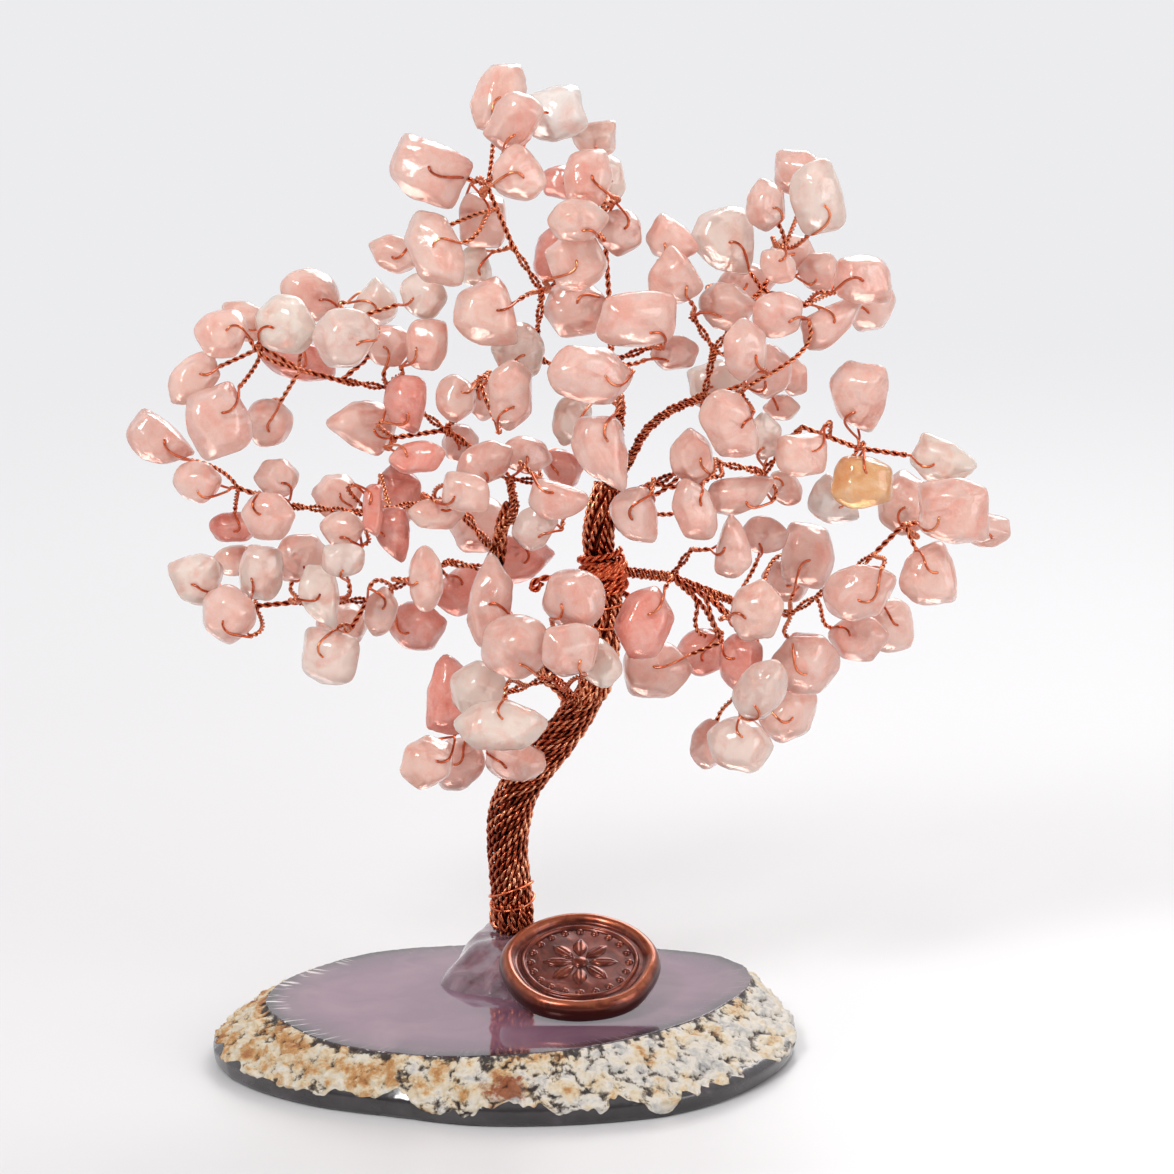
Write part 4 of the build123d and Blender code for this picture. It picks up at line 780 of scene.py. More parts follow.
@dataclass(frozen=True)
class AgateRind:
    """The natural skin of an agate nodule: knobbly, white to cream, with ochre, and painted shade in its
    hollows.
    """
    patch_size: float = 6.0
    warm_span: Span = (-62.0, 40.0)
    grit: float = 0.5
    rust_at: tuple[float, float, float] = (1.0, -41.5, 7.0)
    rust_edge: Span = (12.5, 15.5)
    rust_wander: float = 22.0
    blot_size: float = 4.0

    def material(self) -> Material:
        """Makes the material. The mark of painted shade says how deep a place lies between knobs, with more
        just below the face, and darkens it there.

        Returns:
            The material.
        """
        shader = Shader(bpy.data.materials.new("agate_natural_rind"))
        patches = shader.noise(self.patch_size, Detail=6.0, Roughness=0.68, Distortion=0.4)
        # The left of the slice is warmer, with more ochre and rust, and the right whiter and greyer.
        leftness = shader.span(shader.across(), self.warm_span[0] * MM, self.warm_span[1] * MM, 0.12, -0.01)
        colours = shader.ramp(shader.maths("ADD", patches, leftness),
                              (0.3, "#8f9195"), (0.4, "#c2bfba"), (0.48, "#ded8ce"), (0.58, "#d8c7a9"),
                              (0.66, "#c3925a"), (0.76, "#995b33"))
        # Soot and clear grey stone show in the hollows between the knobs.
        # Painted shade darkens the hollows between the knobs and a band just below the face, broken up by
        # fine grit.
        crumbs = shader.noise(self.grit, Detail=5.0, Roughness=0.7)
        pit = shader.maths("ADD", shader.mark("hollow"), shader.span(crumbs, 0.3, 0.7, -0.22, 0.22))
        hollow = shader.ramp(pit, (0.34, "#ffffff"), (0.54, "#ada69f"), (0.76, "#453f43"))
        dusty = shader.mixed(1.0, colours, hollow, "MULTIPLY")
        # Iron has stained one stretch of the front rust brown.
        reach = shader.add("VectorMath", "Value", {0: shader.place(), 1: tuple(v * MM for v in self.rust_at)},
                           operation="DISTANCE")
        blot = shader.noise(self.blot_size, Detail=6.0, Roughness=0.65)
        wander = shader.maths("MULTIPLY_ADD", blot, self.rust_wander * MM, reach)
        stain = shader.span(wander, self.rust_edge[0] * MM, self.rust_edge[1] * MM, 0.95, 0.0)
        return shader.finish({
            "Base Color": shader.mixed(stain, dusty, "#ad5f2c", "MULTIPLY"), "Roughness": 0.58,
            "IOR": 1.54, "Normal": shader.bump(crumbs, 0.8, self.grit)})


@dataclass(frozen=True)
class SawnAgate:
    """The foot of the slice, sawn and lapped smooth: dark, glassy, greyish stone."""
    cloud_size: float = 9.0
    depth_of_light: float = 2.5

    def material(self) -> Material:
        """Makes the material, with faint paler clouds in the dark stone.

        Returns:
            The material.
        """
        shader = Shader(bpy.data.materials.new("agate_sawn_foot"))
        colours = shader.ramp(shader.noise(self.cloud_size, Detail=3.0),
                              (0.3, "#1f1b1d"), (0.55, "#302b2e"), (0.75, "#4a4348"))
        return shader.finish({
            "Base Color": colours, "Roughness": 0.16, "IOR": 1.54, "Coat Weight": 0.5,
            "Coat Roughness": 0.06, "Subsurface Weight": 0.3, "Subsurface Radius": (1.0, 0.9, 0.95),
            "Subsurface Scale": self.depth_of_light * MM})


@dataclass(frozen=True)
class ClearResin:
    """Casting resin with a pinkish cast, poured round the wires and set glossy."""
    cloud_size: float = 6.0
    ripple_depth: float = 1.0
    depth_of_light: float = 4.0

    def material(self) -> Material:
        """Makes the material, clouded and rippled where the pour set.

        Returns:
            The material.
        """
        shader = Shader(bpy.data.materials.new("casting_resin_pinkish"))
        clouds = shader.noise(self.cloud_size, Detail=3.0, Distortion=0.8)
        return shader.finish({
            "Base Color": shader.ramp(clouds, (0.3, "#6d515c"), (0.5, "#957583"), (0.72, "#bd9fa9")),
            "Roughness": 0.1, "IOR": 1.5, "Transmission Weight": 0.3, "Subsurface Weight": 0.6,
            "Subsurface Radius": (1.0, 0.7, 0.65), "Subsurface Scale": self.depth_of_light * MM,
            "Coat Weight": 0.8, "Coat Roughness": 0.05,
            "Normal": shader.bump(clouds, 0.4, self.ripple_depth)})


@dataclass(frozen=True)
class SealingWax:
    """Sealing wax with copper pearl pigment, poured and stamped."""
    streak_size: float = 5.0
    flow_depth: float = 0.3

    def material(self) -> Material:
        """Makes the material. The rise mark paints a highlight on what the stamp left standing and on the
        rim's crest, and shade on the rim's lower side.

        Returns:
            The material.
        """
        shader = Shader(bpy.data.materials.new("sealing_wax_copper_pearl"))
        # Pearl pigment gathers in streaks a few millimetres long as the wax flows.
        streaks = shader.noise(self.streak_size, Detail=4.0, Distortion=1.6)
        # The rise mark lightens raised places and darkens low ones: painted highlight and painted shade.
        colours = shader.ramp(shader.maths("ADD", streaks, shader.mark("rise")),
                              (0.4, "#49180d"), (0.7, "#6f2d1c"), (1.1, "#a05638"))
        return shader.finish({
            "Base Color": colours, "Metallic": 0.75, "Roughness": 0.3, "Coat Weight": 0.35,
            "Coat Roughness": 0.12, "Normal": shader.bump(streaks, 0.2, self.flow_depth)})


def dress(pile: Pile, name: str, finishes: Sequence[Material], body: str, slot: str,
          *replaced: str) -> None:
    """Makes a pile one piece that rides on its body in place of the plain nodes.

    Args:
        pile: The pile.
        name: The piece's name.
        finishes: Its materials, in the order of the faces' kinds.
        body: The body that it moves with.
        slot: The record's slot that its finish stands for; not used.
        *replaced: The nodes that it replaces.
    """
    piece = pile.piece(name, finishes)
    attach(piece, body)
    if replaced:
        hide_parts(*replaced)
    log.info("%s: %d faces on %s", piece.name, len(piece.data.polygons), body)


@dataclass
class Wirework:
    """How wires are twisted: their radius, their turns and how finely they are drawn."""
    wire_radius: float = 0.29
    pair_pitch: float = 3.1
    rope_pitch: float = 9.0
    samples_per_turn: int = 9
    pair_steps: tuple[float, ...] = (0.78, 1.15, 1.35)
    uneven_pitch: Span = (0.85, 1.2)
    uneven_tone: float = 0.12
    wire_sides: int = 6
    # How much painted shade darkens each twisted wire on its side towards its partner
    hollow: float = 0.85
    widest_wire: float = 0.33
    least_pair: float = 0.5

    @property
    def step(self) -> float:
        """The length between the samples of a pair's path."""
        return self.pair_pitch / self.samples_per_turn

    def pairs_in(self, radius: float) -> int:
        """How many twisted pairs make a rope of that radius."""
        return 1 + sum(radius >= step for step in self.pair_steps)

    def pair(self, pile: Pile, path: np.ndarray, across: np.ndarray, rng: np.random.Generator,
             radius: float, tone: float, hand: int = 1) -> None:
        """Adds two wires twisted round a path.

        Args:
            pile: Where the wires go.
            path: The pair's middle line.
            across: A direction across it at each sample.
            rng: The source of the pair's uneven twist.
            radius: The wires' radius.
            tone: How bright the wires are.
            hand: 1 or -1, the way in which they turn.
        """
        pitch = hand * self.pair_pitch * rng.uniform(*self.uneven_pitch) * radius / self.wire_radius
        for line, out in twisted(path, across, 2, radius, pitch, rng.uniform(0, math.pi)):
            lit = float(np.clip(tone + rng.uniform(-self.uneven_tone, self.uneven_tone), 0, 1))
            pile.tube(line, out, radius, self.wire_sides, lit, self.hollow)

    def pair_through(self, pile: Pile, points: np.ndarray, rng: np.random.Generator, radius: float,
                     tone: float, hand: int = 1) -> None:
        """Adds two twisted wires through points."""
        path = smooth_line(points, self.step)
        self.pair(pile, path, steady_across(path), rng, radius, tone, hand)

    def rope(self, pile: Pile, points: np.ndarray, radius: float, rng: np.random.Generator,
             tone: float) -> None:
        """Adds a rope of twisted pairs through points.

        Args:
            pile: Where the wires go.
            points: The points that the rope passes.
            radius: The rope's radius.
            rng: The source of its uneven twist.
            tone: How bright the wires are.
        """
        count = self.pairs_in(radius)
        if count == 1:
            self.pair_through(pile, points, rng, min(radius / 2, self.widest_wire), tone)
            return
        path = smooth_line(points, self.step)
        pair_radius = max(radius / (1 + 1 / math.sin(math.pi / count)), self.least_pair)
        offset = pair_radius / math.sin(math.pi / count)
        pitch = self.rope_pitch * rng.uniform(*self.uneven_pitch)
        for line, out in twisted(path, steady_across(path), count, offset, pitch, rng.uniform(0, math.pi)):
            self.pair(pile, line, out, rng, pair_radius / 2, tone)


# Picture places of the chips that stand out as paler, deeper, clearer or yellower than the rest
TINTED_PX = {
    Tint.PALE: ((477, 270), (608, 178), (727, 243), (817, 197), (716, 386), (765, 437), (944, 461),
                (761, 690), (741, 744), (345, 338), (287, 325), (520, 350), (199, 576), (262, 573),
                (321, 596), (343, 560), (331, 657), (479, 690), (501, 725), (598, 664), (572, 418),
                (534, 528), (424, 296), (376, 302)),
    Tint.DEEP: ((553, 255), (564, 184), (305, 362), (407, 405), (418, 457), (373, 510), (398, 495),
                (394, 533), (417, 626), (462, 588), (450, 694), (519, 560), (563, 468), (234, 527),
                (702, 652), (643, 624), (741, 662)),
    Tint.AMBER: ((862, 482),),
    Tint.CLEAR: ((554, 114), (833, 503)),
}
TINT_REACH_PX = 14.0


# Twisted pairs that run beside the ropes: picture places of their points, with each point's depth
SIDE_PAIRS_PX = {
    "right_lower": (((684, 584, 0.3), (692, 592, -0.5), (697, 606, -1.2), (695, 622, -0.5), (700, 634, 1.5),
                     (706, 636, 2.5)),
                    ((697, 590, 1.0), (706, 600, 0.0), (711, 615, -1.0), (716, 628, 0.0), (722, 634, 2.0)),
                    ((711, 595, 1.5), (721, 606, 0.5), (733, 618, -0.5), (741, 628, 0.0))),
    "right_middle": (((630, 506, -1.5), (645, 500, -1.0), (665, 489, 0.5), (684, 472, 2.2)),
                     ((630, 512, -1.0), (652, 514, -1.5), (676, 513, -1.0), (690, 505, 0.0), (701, 489, 1.0),
                      (704, 470, 1.8)),
                     ((630, 494, 0.5), (650, 484, 0.5), (674, 487, 1.5), (694, 470, 2.2))),
    "trunk": (((592, 573, -4.0), (575, 577, -5.5), (556, 577, -6.0), (541, 579, -5.5), (533, 583, -5.0),
               (531, 588, -4.8), (537, 589, -4.6), (542, 583, -4.6)),),
}


def tint_of(middle: np.ndarray) -> Tint:
    """Picks the tint of a chip.

    Args:
        middle: The chip's middle, in millimetres.

    Returns:
        The tint noted nearest to where it is seen, or the usual one.
    """
    seen = np.array(PICTURE.seen(middle))
    best, kind = TINT_REACH_PX, Tint.MID
    for tint, places in TINTED_PX.items():
        gap = float(lengths(np.array(places) - seen).min())
        if gap < best:
            best, kind = gap, tint
    return kind


def sphere_of_squares(count: int) -> tuple[np.ndarray, np.ndarray]:
    """A round ball made of even squares.

    Args:
        count: How many squares lie along each of a cube's edges.

    Returns:
        Directions to the corners, and the faces.
    """
    steps = np.tan(np.linspace(-1.0, 1.0, count + 1) * math.pi / 4)
    u, v = (table.ravel() for table in np.meshgrid(steps, steps, indexing="ij"))
    one = np.ones_like(u)
    rows = np.arange(count)[:, None] * (count + 1)
    k = np.arange(count)
    squares = np.stack((rows + k, rows + count + 1 + k, rows + count + 2 + k, rows + k + 1),
                       axis=-1).reshape(-1, 4)
    points, faces = [], []
    sides = ((one, u, v), (-one, v, u), (v, one, u), (u, -one, v), (u, v, one), (v, u, -one))
    for side, table in enumerate(sides):
        points.append(np.stack(table, axis=1))
        faces.append(squares + side * (count + 1) ** 2)
    stacked = np.vstack(points)
    _, first, welded = np.unique(np.round(stacked * 1e6).astype(np.int64), axis=0,
                                 return_index=True, return_inverse=True)
    return unit(stacked[first]), welded.reshape(-1)[np.vstack(faces)]


BALL_WAYS, BALL_FACES = sphere_of_squares(16)


@dataclass
class Chip:
    """One tumbled chip: its faceted solid worn round, with a few flats and dents of its own."""
    solid: Solid
    rng: np.random.Generator
    flats: int = 5
    flat_depths: Span = (0.78, 0.92)
    sharpnesses: Span = (8.0, 15.0)
    shades: Span = (0.9, 1.05)
    hook_bows: Span = (0.1, 0.3)
    hook_samples: int = 14
    thickest: float = 10.0
    rise_samples: int = 51
    # The sizes of the broad and the small dents against the chip's half width
    dent_sizes: Span = (1.2, 0.5)
    broad_dents: float = 0.068
    small_dents: float = 0.028
    wire_rise: float = 0.05
    room: float = 0.0
    loop: Optional[np.ndarray] = None
    grip: Optional[np.ndarray] = None

    @property
    def tail(self) -> np.ndarray:
        """Where the chip's wire loop closes."""
        return (self.loop[0] + self.loop[-1]) / 2

    @property
    def hole(self) -> np.ndarray:
        """The middle of the drilled hole, where the loop runs through."""
        return (self.loop[2] + self.loop[3]) / 2

    def __post_init__(self) -> None:
        """Reads the stone's planes and gives it flats of its own."""
        self.centre, self.normals, self.distances = self.solid.planes()
        self.sharpness = self.rng.uniform(*self.sharpnesses)
        self.seed = self.rng.uniform(0.0, 90.0)
        self.bows = self.rng.uniform(*self.hook_bows, 2) * self.rng.choice((-1.0, 1.0), 2)
        ways = unit(self.rng.normal(size=(self.flats, 3)))
        spans = ((self.solid.points - self.centre) @ ways.T).max(axis=0)
        depths = spans * self.rng.uniform(*self.flat_depths, self.flats)
        self.normals = np.vstack((self.normals, ways))
        self.distances = np.concatenate((self.distances, depths))

    def level(self, points: np.ndarray) -> np.ndarray:
        """How far out points lie: under 1 inside the chip, 1 on its face, over 1 outside."""
        shares = np.maximum((points - self.centre) @ self.normals.T, 0.0) / (self.distances + self.room)
        return (shares ** self.sharpness).sum(axis=-1) ** (1 / self.sharpness)

    def add_to(self, pile: Pile, low: np.ndarray, high: np.ndarray) -> None:
        """Adds the chip to a pile.

        Args:
            pile: Where the chip goes.
            low: The lowest corner that it may reach.
            high: The highest corner that it may reach.
        """
        reach = 1 / self.level(self.centre + BALL_WAYS)
        points = self.centre + BALL_WAYS * reach[:, None]
        span = float(self.distances.mean())
        broad, small = self.dent_sizes
        parts = ((self.broad_dents, broad * span, self.seed), (self.small_dents, small * span, self.seed + 7))
        dents = np.array([swells(point, *parts) for point in points])
        points = self.centre + (points - self.centre) * (1 + dents[:, None])
        colour = np.array(linear(tint_of(self.centre).value)[:3])
        colour = np.clip(colour * self.rng.uniform(*self.shades), 0, 1)
        pile.add(np.clip(points, low, high), (BALL_FACES,), tint=np.tile(colour, (len(points), 1)))

    def hook_lines(self, wire: float) -> list[np.ndarray]:
        """The two ends of the chip's wire, each from the drilled hole over a face to the twig.

        Args:
            wire: The wire's radius.

        Returns:
            The points of both, which lie on the chip's faces.
        """
        through = unit(self.loop[3] - self.loop[2])
        out = self.tail - self.hole
        out = out - through * (out @ through)
        length = float(np.linalg.norm(out))
        aside = np.cross(through, out / length)
        shares = np.linspace(0.0, 1.0, self.hook_samples)
        rises = np.linspace(0.0, self.thickest, self.rise_samples)
        a, b, c = shares[:, None, None], shares[None, :, None], shares[None, None, :]
        lines = []
        for side, bow in zip((-1.0, 1.0), self.bows):
            sway = np.outer(np.sin(math.pi * shares ** 0.7) * bow * length, aside)
            flat = self.hole + np.outer(shares, out) + sway
            inside = self.level(flat[:, None] + side * rises[None, :, None] * through) <= 1.0
            highest = rises[len(rises) - 1 - inside[:, ::-1].argmax(axis=1)] + self.wire_rise
            rise = np.where(inside.any(axis=1), highest, 0.0) + wire
            # A taut wire spans the hollows between the highest places that it crosses.
            with np.errstate(divide="ignore", invalid="ignore"):
                spans = rise[:, None, None] + (rise[None, :, None] - rise[:, None, None]) * (c - a) / (b - a)
            taut = np.maximum(rise, np.nanmax(np.where((a < c) & (c < b), spans, -1.0), axis=(0, 1)))
            line = flat + side * np.outer(taut, through)
            inner = self.hole + side * through * 0.4 * taut[0]
            lines.append(np.vstack((inner, line[0] - 0.3 * side * wire * through, line[1:-1],
                                    self.tail + side * through * wire, self.grip)))
        return lines


@dataclass
class Bough:
    """One bough: its ropes from fork to fork, its twigs, its wire hooks and its chips."""
    name: str
    nodes: dict
    bend: np.ndarray
    wirework: Wirework
    rng: np.random.Generator
    low: np.ndarray
    high: np.ndarray
    cords: list = field(default_factory=list)
    forks: list = field(default_factory=list)
    chips: list = field(default_factory=list)
    twigs: list = field(default_factory=list)
    way_out: Optional[np.ndarray] = None
    root_radius: float = 1.0
    side_pair_radius: float = 0.6
    root_reach: float = 0.6
    joined: float = 0.4
    overlap: float = 2.2
    twig_joined: float = 0.5
    grip_reach: float = 1.6
    bend_share: float = 0.35
    coarse_step: float = 0.8
    clear_level: float = 1.1
    rope_tones: Span = (0.6, 0.9)
    side_tone: float = 0.85
    twig_tones: Span = (0.7, 1.0)
    hook_tones: Span = (0.4, 0.7)
    hook_step: float = 0.3
    hook_sides: int = 7

    def __post_init__(self) -> None:
        """Reads the bough's pieces from its nodes."""
        self.cords = [solid.middle_line(CORD_SIDES) for solid in self.solids("cords")]
        for solid in self.solids("forks"):
            low, high = solid.points.min(axis=0), solid.points.max(axis=0)
            self.forks.append(((low + high) / 2, float((high - low).max() / 2)))
        self.order_cords()
        self.chips = [Chip(solid, self.rng) for solid in self.solids("stones")]
        middles = np.array([chip.centre for chip in self.chips])
        for solid in self.solids("loops"):
            loop = solid.middle_line(TWIG_SIDES)[0]
            chip = self.chips[nearest(middles, (loop[2] + loop[3]) / 2)]
            chip.loop = loop
            chip.grip = self.source_near(chip.tail, self.grip_reach)
        self.read_twigs()

    @property
    def body(self) -> str:
        """The body that the bough is."""
        return f"{self.name}_bough"

    def solids(self, kind: str) -> list[Solid]:
        """The solids of one of the bough's nodes."""
        return solids_of(self.nodes[f"{self.name}_{kind}"])

    def fork_near(self, point: np.ndarray, room: float) -> Optional[int]:
        """Finds the fork at a point.

        Args:
            point: The point.
            room: How far off the fork's ball the point may lie.

        Returns:
            The fork's number, or None.
        """
        gaps = [np.linalg.norm(point - middle) - radius for middle, radius in self.forks]
        best = int(np.argmin(gaps))
        return best if gaps[best] < room else None

    def source_near(self, point: np.ndarray, room: float) -> np.ndarray:
        """Finds where a wire that ends at a point comes from.

        Args:
            point: The point.
            room: How far off a fork's ball the point may lie.

        Returns:
            The fork's middle, or else the nearest place on the cords.
        """
        fork = self.fork_near(point, room)
        if fork is not None:
            return self.forks[fork][0]
        places = np.vstack([smooth_line(points, self.coarse_step) for points, _ in self.cords])
        return places[nearest(places, point)]

    def order_cords(self) -> None:
        """Turns every cord to run outwards, and joins it to its forks."""
        waiting = list(self.cords)
        ordered: list[tuple[np.ndarray, float]] = []
        arrivals: dict[Optional[int], np.ndarray] = {}
        starts: list[Optional[int]] = [None]
        while starts:
            start = starts.pop(0)
            for line, radius in list(waiting):
                for way in (line, line[::-1]):
                    if start is None:
                        here = np.linalg.norm(way[0] - self.bend) < self.root_reach
                    else:
                        here = self.fork_near(way[0], self.joined) == start
                    if not here:
                        continue
                    end = self.fork_near(way[-1], self.joined)
                    points = list(way) + ([self.forks[end][0]] if end is not None else [])
                    if start is None:
                        self.way_out, self.root_radius = unit(way[1] - way[0]), radius
                        points.insert(0, way[0] - self.way_out * self.root_reach)
                    else:
                        middle = self.forks[start][0]
                        points = [middle - arrivals[start] * self.overlap, middle] + points
                    ordered.append((np.array(points), radius))
                    if end is not None:
                        arrivals[end] = unit(way[-1] - way[-2])
                        starts.append(end)
                    waiting = [(kept, r) for kept, r in waiting if kept is not line]
                    break
        self.cords = ordered

    def clear_of_chips(self, path: np.ndarray, own: Chip) -> bool:
        """Whether a path stays out of every chip but its own."""
        return all(chip.level(path).min() > self.clear_level for chip in self.chips if chip is not own)

    def read_twigs(self) -> None:
        """Finds each twig's route from its fork or cord to its chip."""
        tails = np.array([chip.tail for chip in self.chips])
        for solid in self.solids("twigs"):
            line = solid.middle_line(TWIG_SIDES)[0]
            reach = [lengths(tails - end) for end in (line[0], line[-1])]
            if reach[0].min() < reach[1].min():
                line, reach = line[::-1], reach[::-1]
            chip = self.chips[int(np.argmin(reach[1]))]
            source = self.source_near(line[0], self.twig_joined)
            points = np.vstack((source, line, chip.tail))
            if len(line) > 2:
                leave = source + (line[1] - source) * self.bend_share
                arrive = chip.tail + (line[-2] - chip.tail) * self.bend_share
                direct = np.vstack((source, leave, arrive, chip.tail))
                if self.clear_of_chips(smooth_line(direct, self.coarse_step), chip):
                    points = direct
            self.twigs.append(points)
            back = points[-2] - chip.tail
            chip.grip = chip.tail + unit(back) * min(self.grip_reach, 0.5 * float(np.linalg.norm(back)))

    def ropes(self, copper: Material) -> None:
        """Builds the ropes from fork to fork, and the loose pairs beside them.

        Args:
            copper: The wires' material.
        """
        pile = Pile()
        for points, radius in self.cords:
            self.wirework.rope(pile, points, radius, self.rng, self.rng.uniform(*self.rope_tones))
        for places in SIDE_PAIRS_PX.get(self.name, ()):
            self.wirework.rope(pile, PICTURE.points(places), self.side_pair_radius, self.rng,
                               self.side_tone)
        dress(pile, f"{self.name}_wire_ropes", [copper], self.body, WIRE_SLOT, f"{self.name}_cords",
              f"{self.name}_forks")

    def twigs_and_hooks(self, copper: Material) -> None:
        """Builds each chip's twisted twig, and the wire hook that holds the chip.

        Args:
            copper: The wires' material.
        """
        pairs, hooks = Pile(), Pile()
        wire = self.wirework.wire_radius
        for points in self.twigs:
            self.wirework.pair_through(pairs, points, self.rng, wire, self.rng.uniform(*self.twig_tones))
        for chip in self.chips:
            tone = self.rng.uniform(*self.hook_tones)
            for line in chip.hook_lines(wire):
                path = smooth_line(line, self.hook_step)
                path = np.clip(path, self.low + 1.02 * wire, self.high - 1.02 * wire)
                hooks.tube(path, steady_across(path), wire, self.hook_sides, tone)
        dress(pairs, f"{self.name}_twisted_twigs", [copper], self.body, WIRE_SLOT, f"{self.name}_twigs")
        dress(hooks, f"{self.name}_wire_hooks", [copper], self.body, WIRE_SLOT, f"{self.name}_loops")

    def quartz_chips(self, quartz: Material) -> None:
        """Builds the bough's chips, smooth and rounded where the solids are faceted.

        Args:
            quartz: Their material.
        """
        pile = Pile()
        for chip in self.chips:
            chip.add_to(pile, self.low, self.high)
        dress(pile, f"{self.name}_quartz_chips", [quartz], self.body, "rose_quartz", f"{self.name}_stones")


@dataclass
class Crown:
    """All the boughs together, and the room that their chips have to fill out."""
    boughs: list
    most_room: float = 1.9
    between: float = 0.35
    wire_gap: float = 0.65
    bend_degrees: float = 5.0
    far: float = 30.0
    own_wire: float = 3.0

    def bent(self, points: np.ndarray, bough: Bough, degrees: float) -> np.ndarray:
        """Turns points of a bough about its root.

        Args:
            points: The points at rest.
            bough: The bough.
            degrees: How far it is bent.

        Returns:
            The points as they lie then.
        """
        turn = math.radians(degrees)
        arms = points - bough.bend
        across = arms[:, 0] * math.cos(turn) + arms[:, 2] * math.sin(turn)
        rise = arms[:, 2] * math.cos(turn) - arms[:, 0] * math.sin(turn)
        return bough.bend + np.stack((across, arms[:, 1], rise), axis=1)

    def parted(self, one: np.ndarray, other: np.ndarray) -> float:
        """How far apart two stones are, tried over many directions near the line between them."""
        ways = unit(BALL_WAYS[::4] + unit(other.mean(axis=0) - one.mean(axis=0)))
        return float(((other @ ways.T).min(axis=0) - (one @ ways.T).max(axis=0)).max())

    def give_room(self) -> None:
        """Lets each chip fill out as far as its neighbours, bent or not, and the wires allow."""
        owned = [(bough, chip) for bough in self.boughs for chip in bough.chips]
        gaps = np.full(len(owned), 2 * self.most_room + self.between)
        for i, (bough, chip) in enumerate(owned):
            for k, (other_bough, other) in enumerate(owned[:i]):
                if np.linalg.norm(chip.centre - other.centre) > self.far:
                    continue
                poses = [(0.0, 0.0)]
                if bough is not other_bough:
                    poses += [(self.bend_degrees, 0.0), (-self.bend_degrees, 0.0),
                              (0.0, self.bend_degrees), (0.0, -self.bend_degrees)]
                gap = min(self.parted(self.bent(chip.solid.points, bough, a),
                                      self.bent(other.solid.points, other_bough, b)) for a, b in poses)
                gaps[i], gaps[k] = min(gaps[i], gap), min(gaps[k], gap)
        wires = np.vstack([smooth_line(points, bough.coarse_step) for bough in self.boughs
                           for points in [line for line, _ in bough.cords] + bough.twigs])
        for (_, chip), gap in zip(owned, gaps):
            apart = ((wires - chip.centre) @ chip.normals.T - chip.distances).max(axis=1)
            others = apart[lengths(wires - chip.tail) > self.own_wire]
            free = min((gap - self.between) / 2, others.min() - self.wire_gap)
            chip.room = float(np.clip(free, 0.0, self.most_room))
        log.info("chips fill out by %.2f mm on average", np.mean([chip.room for _, chip in owned]))


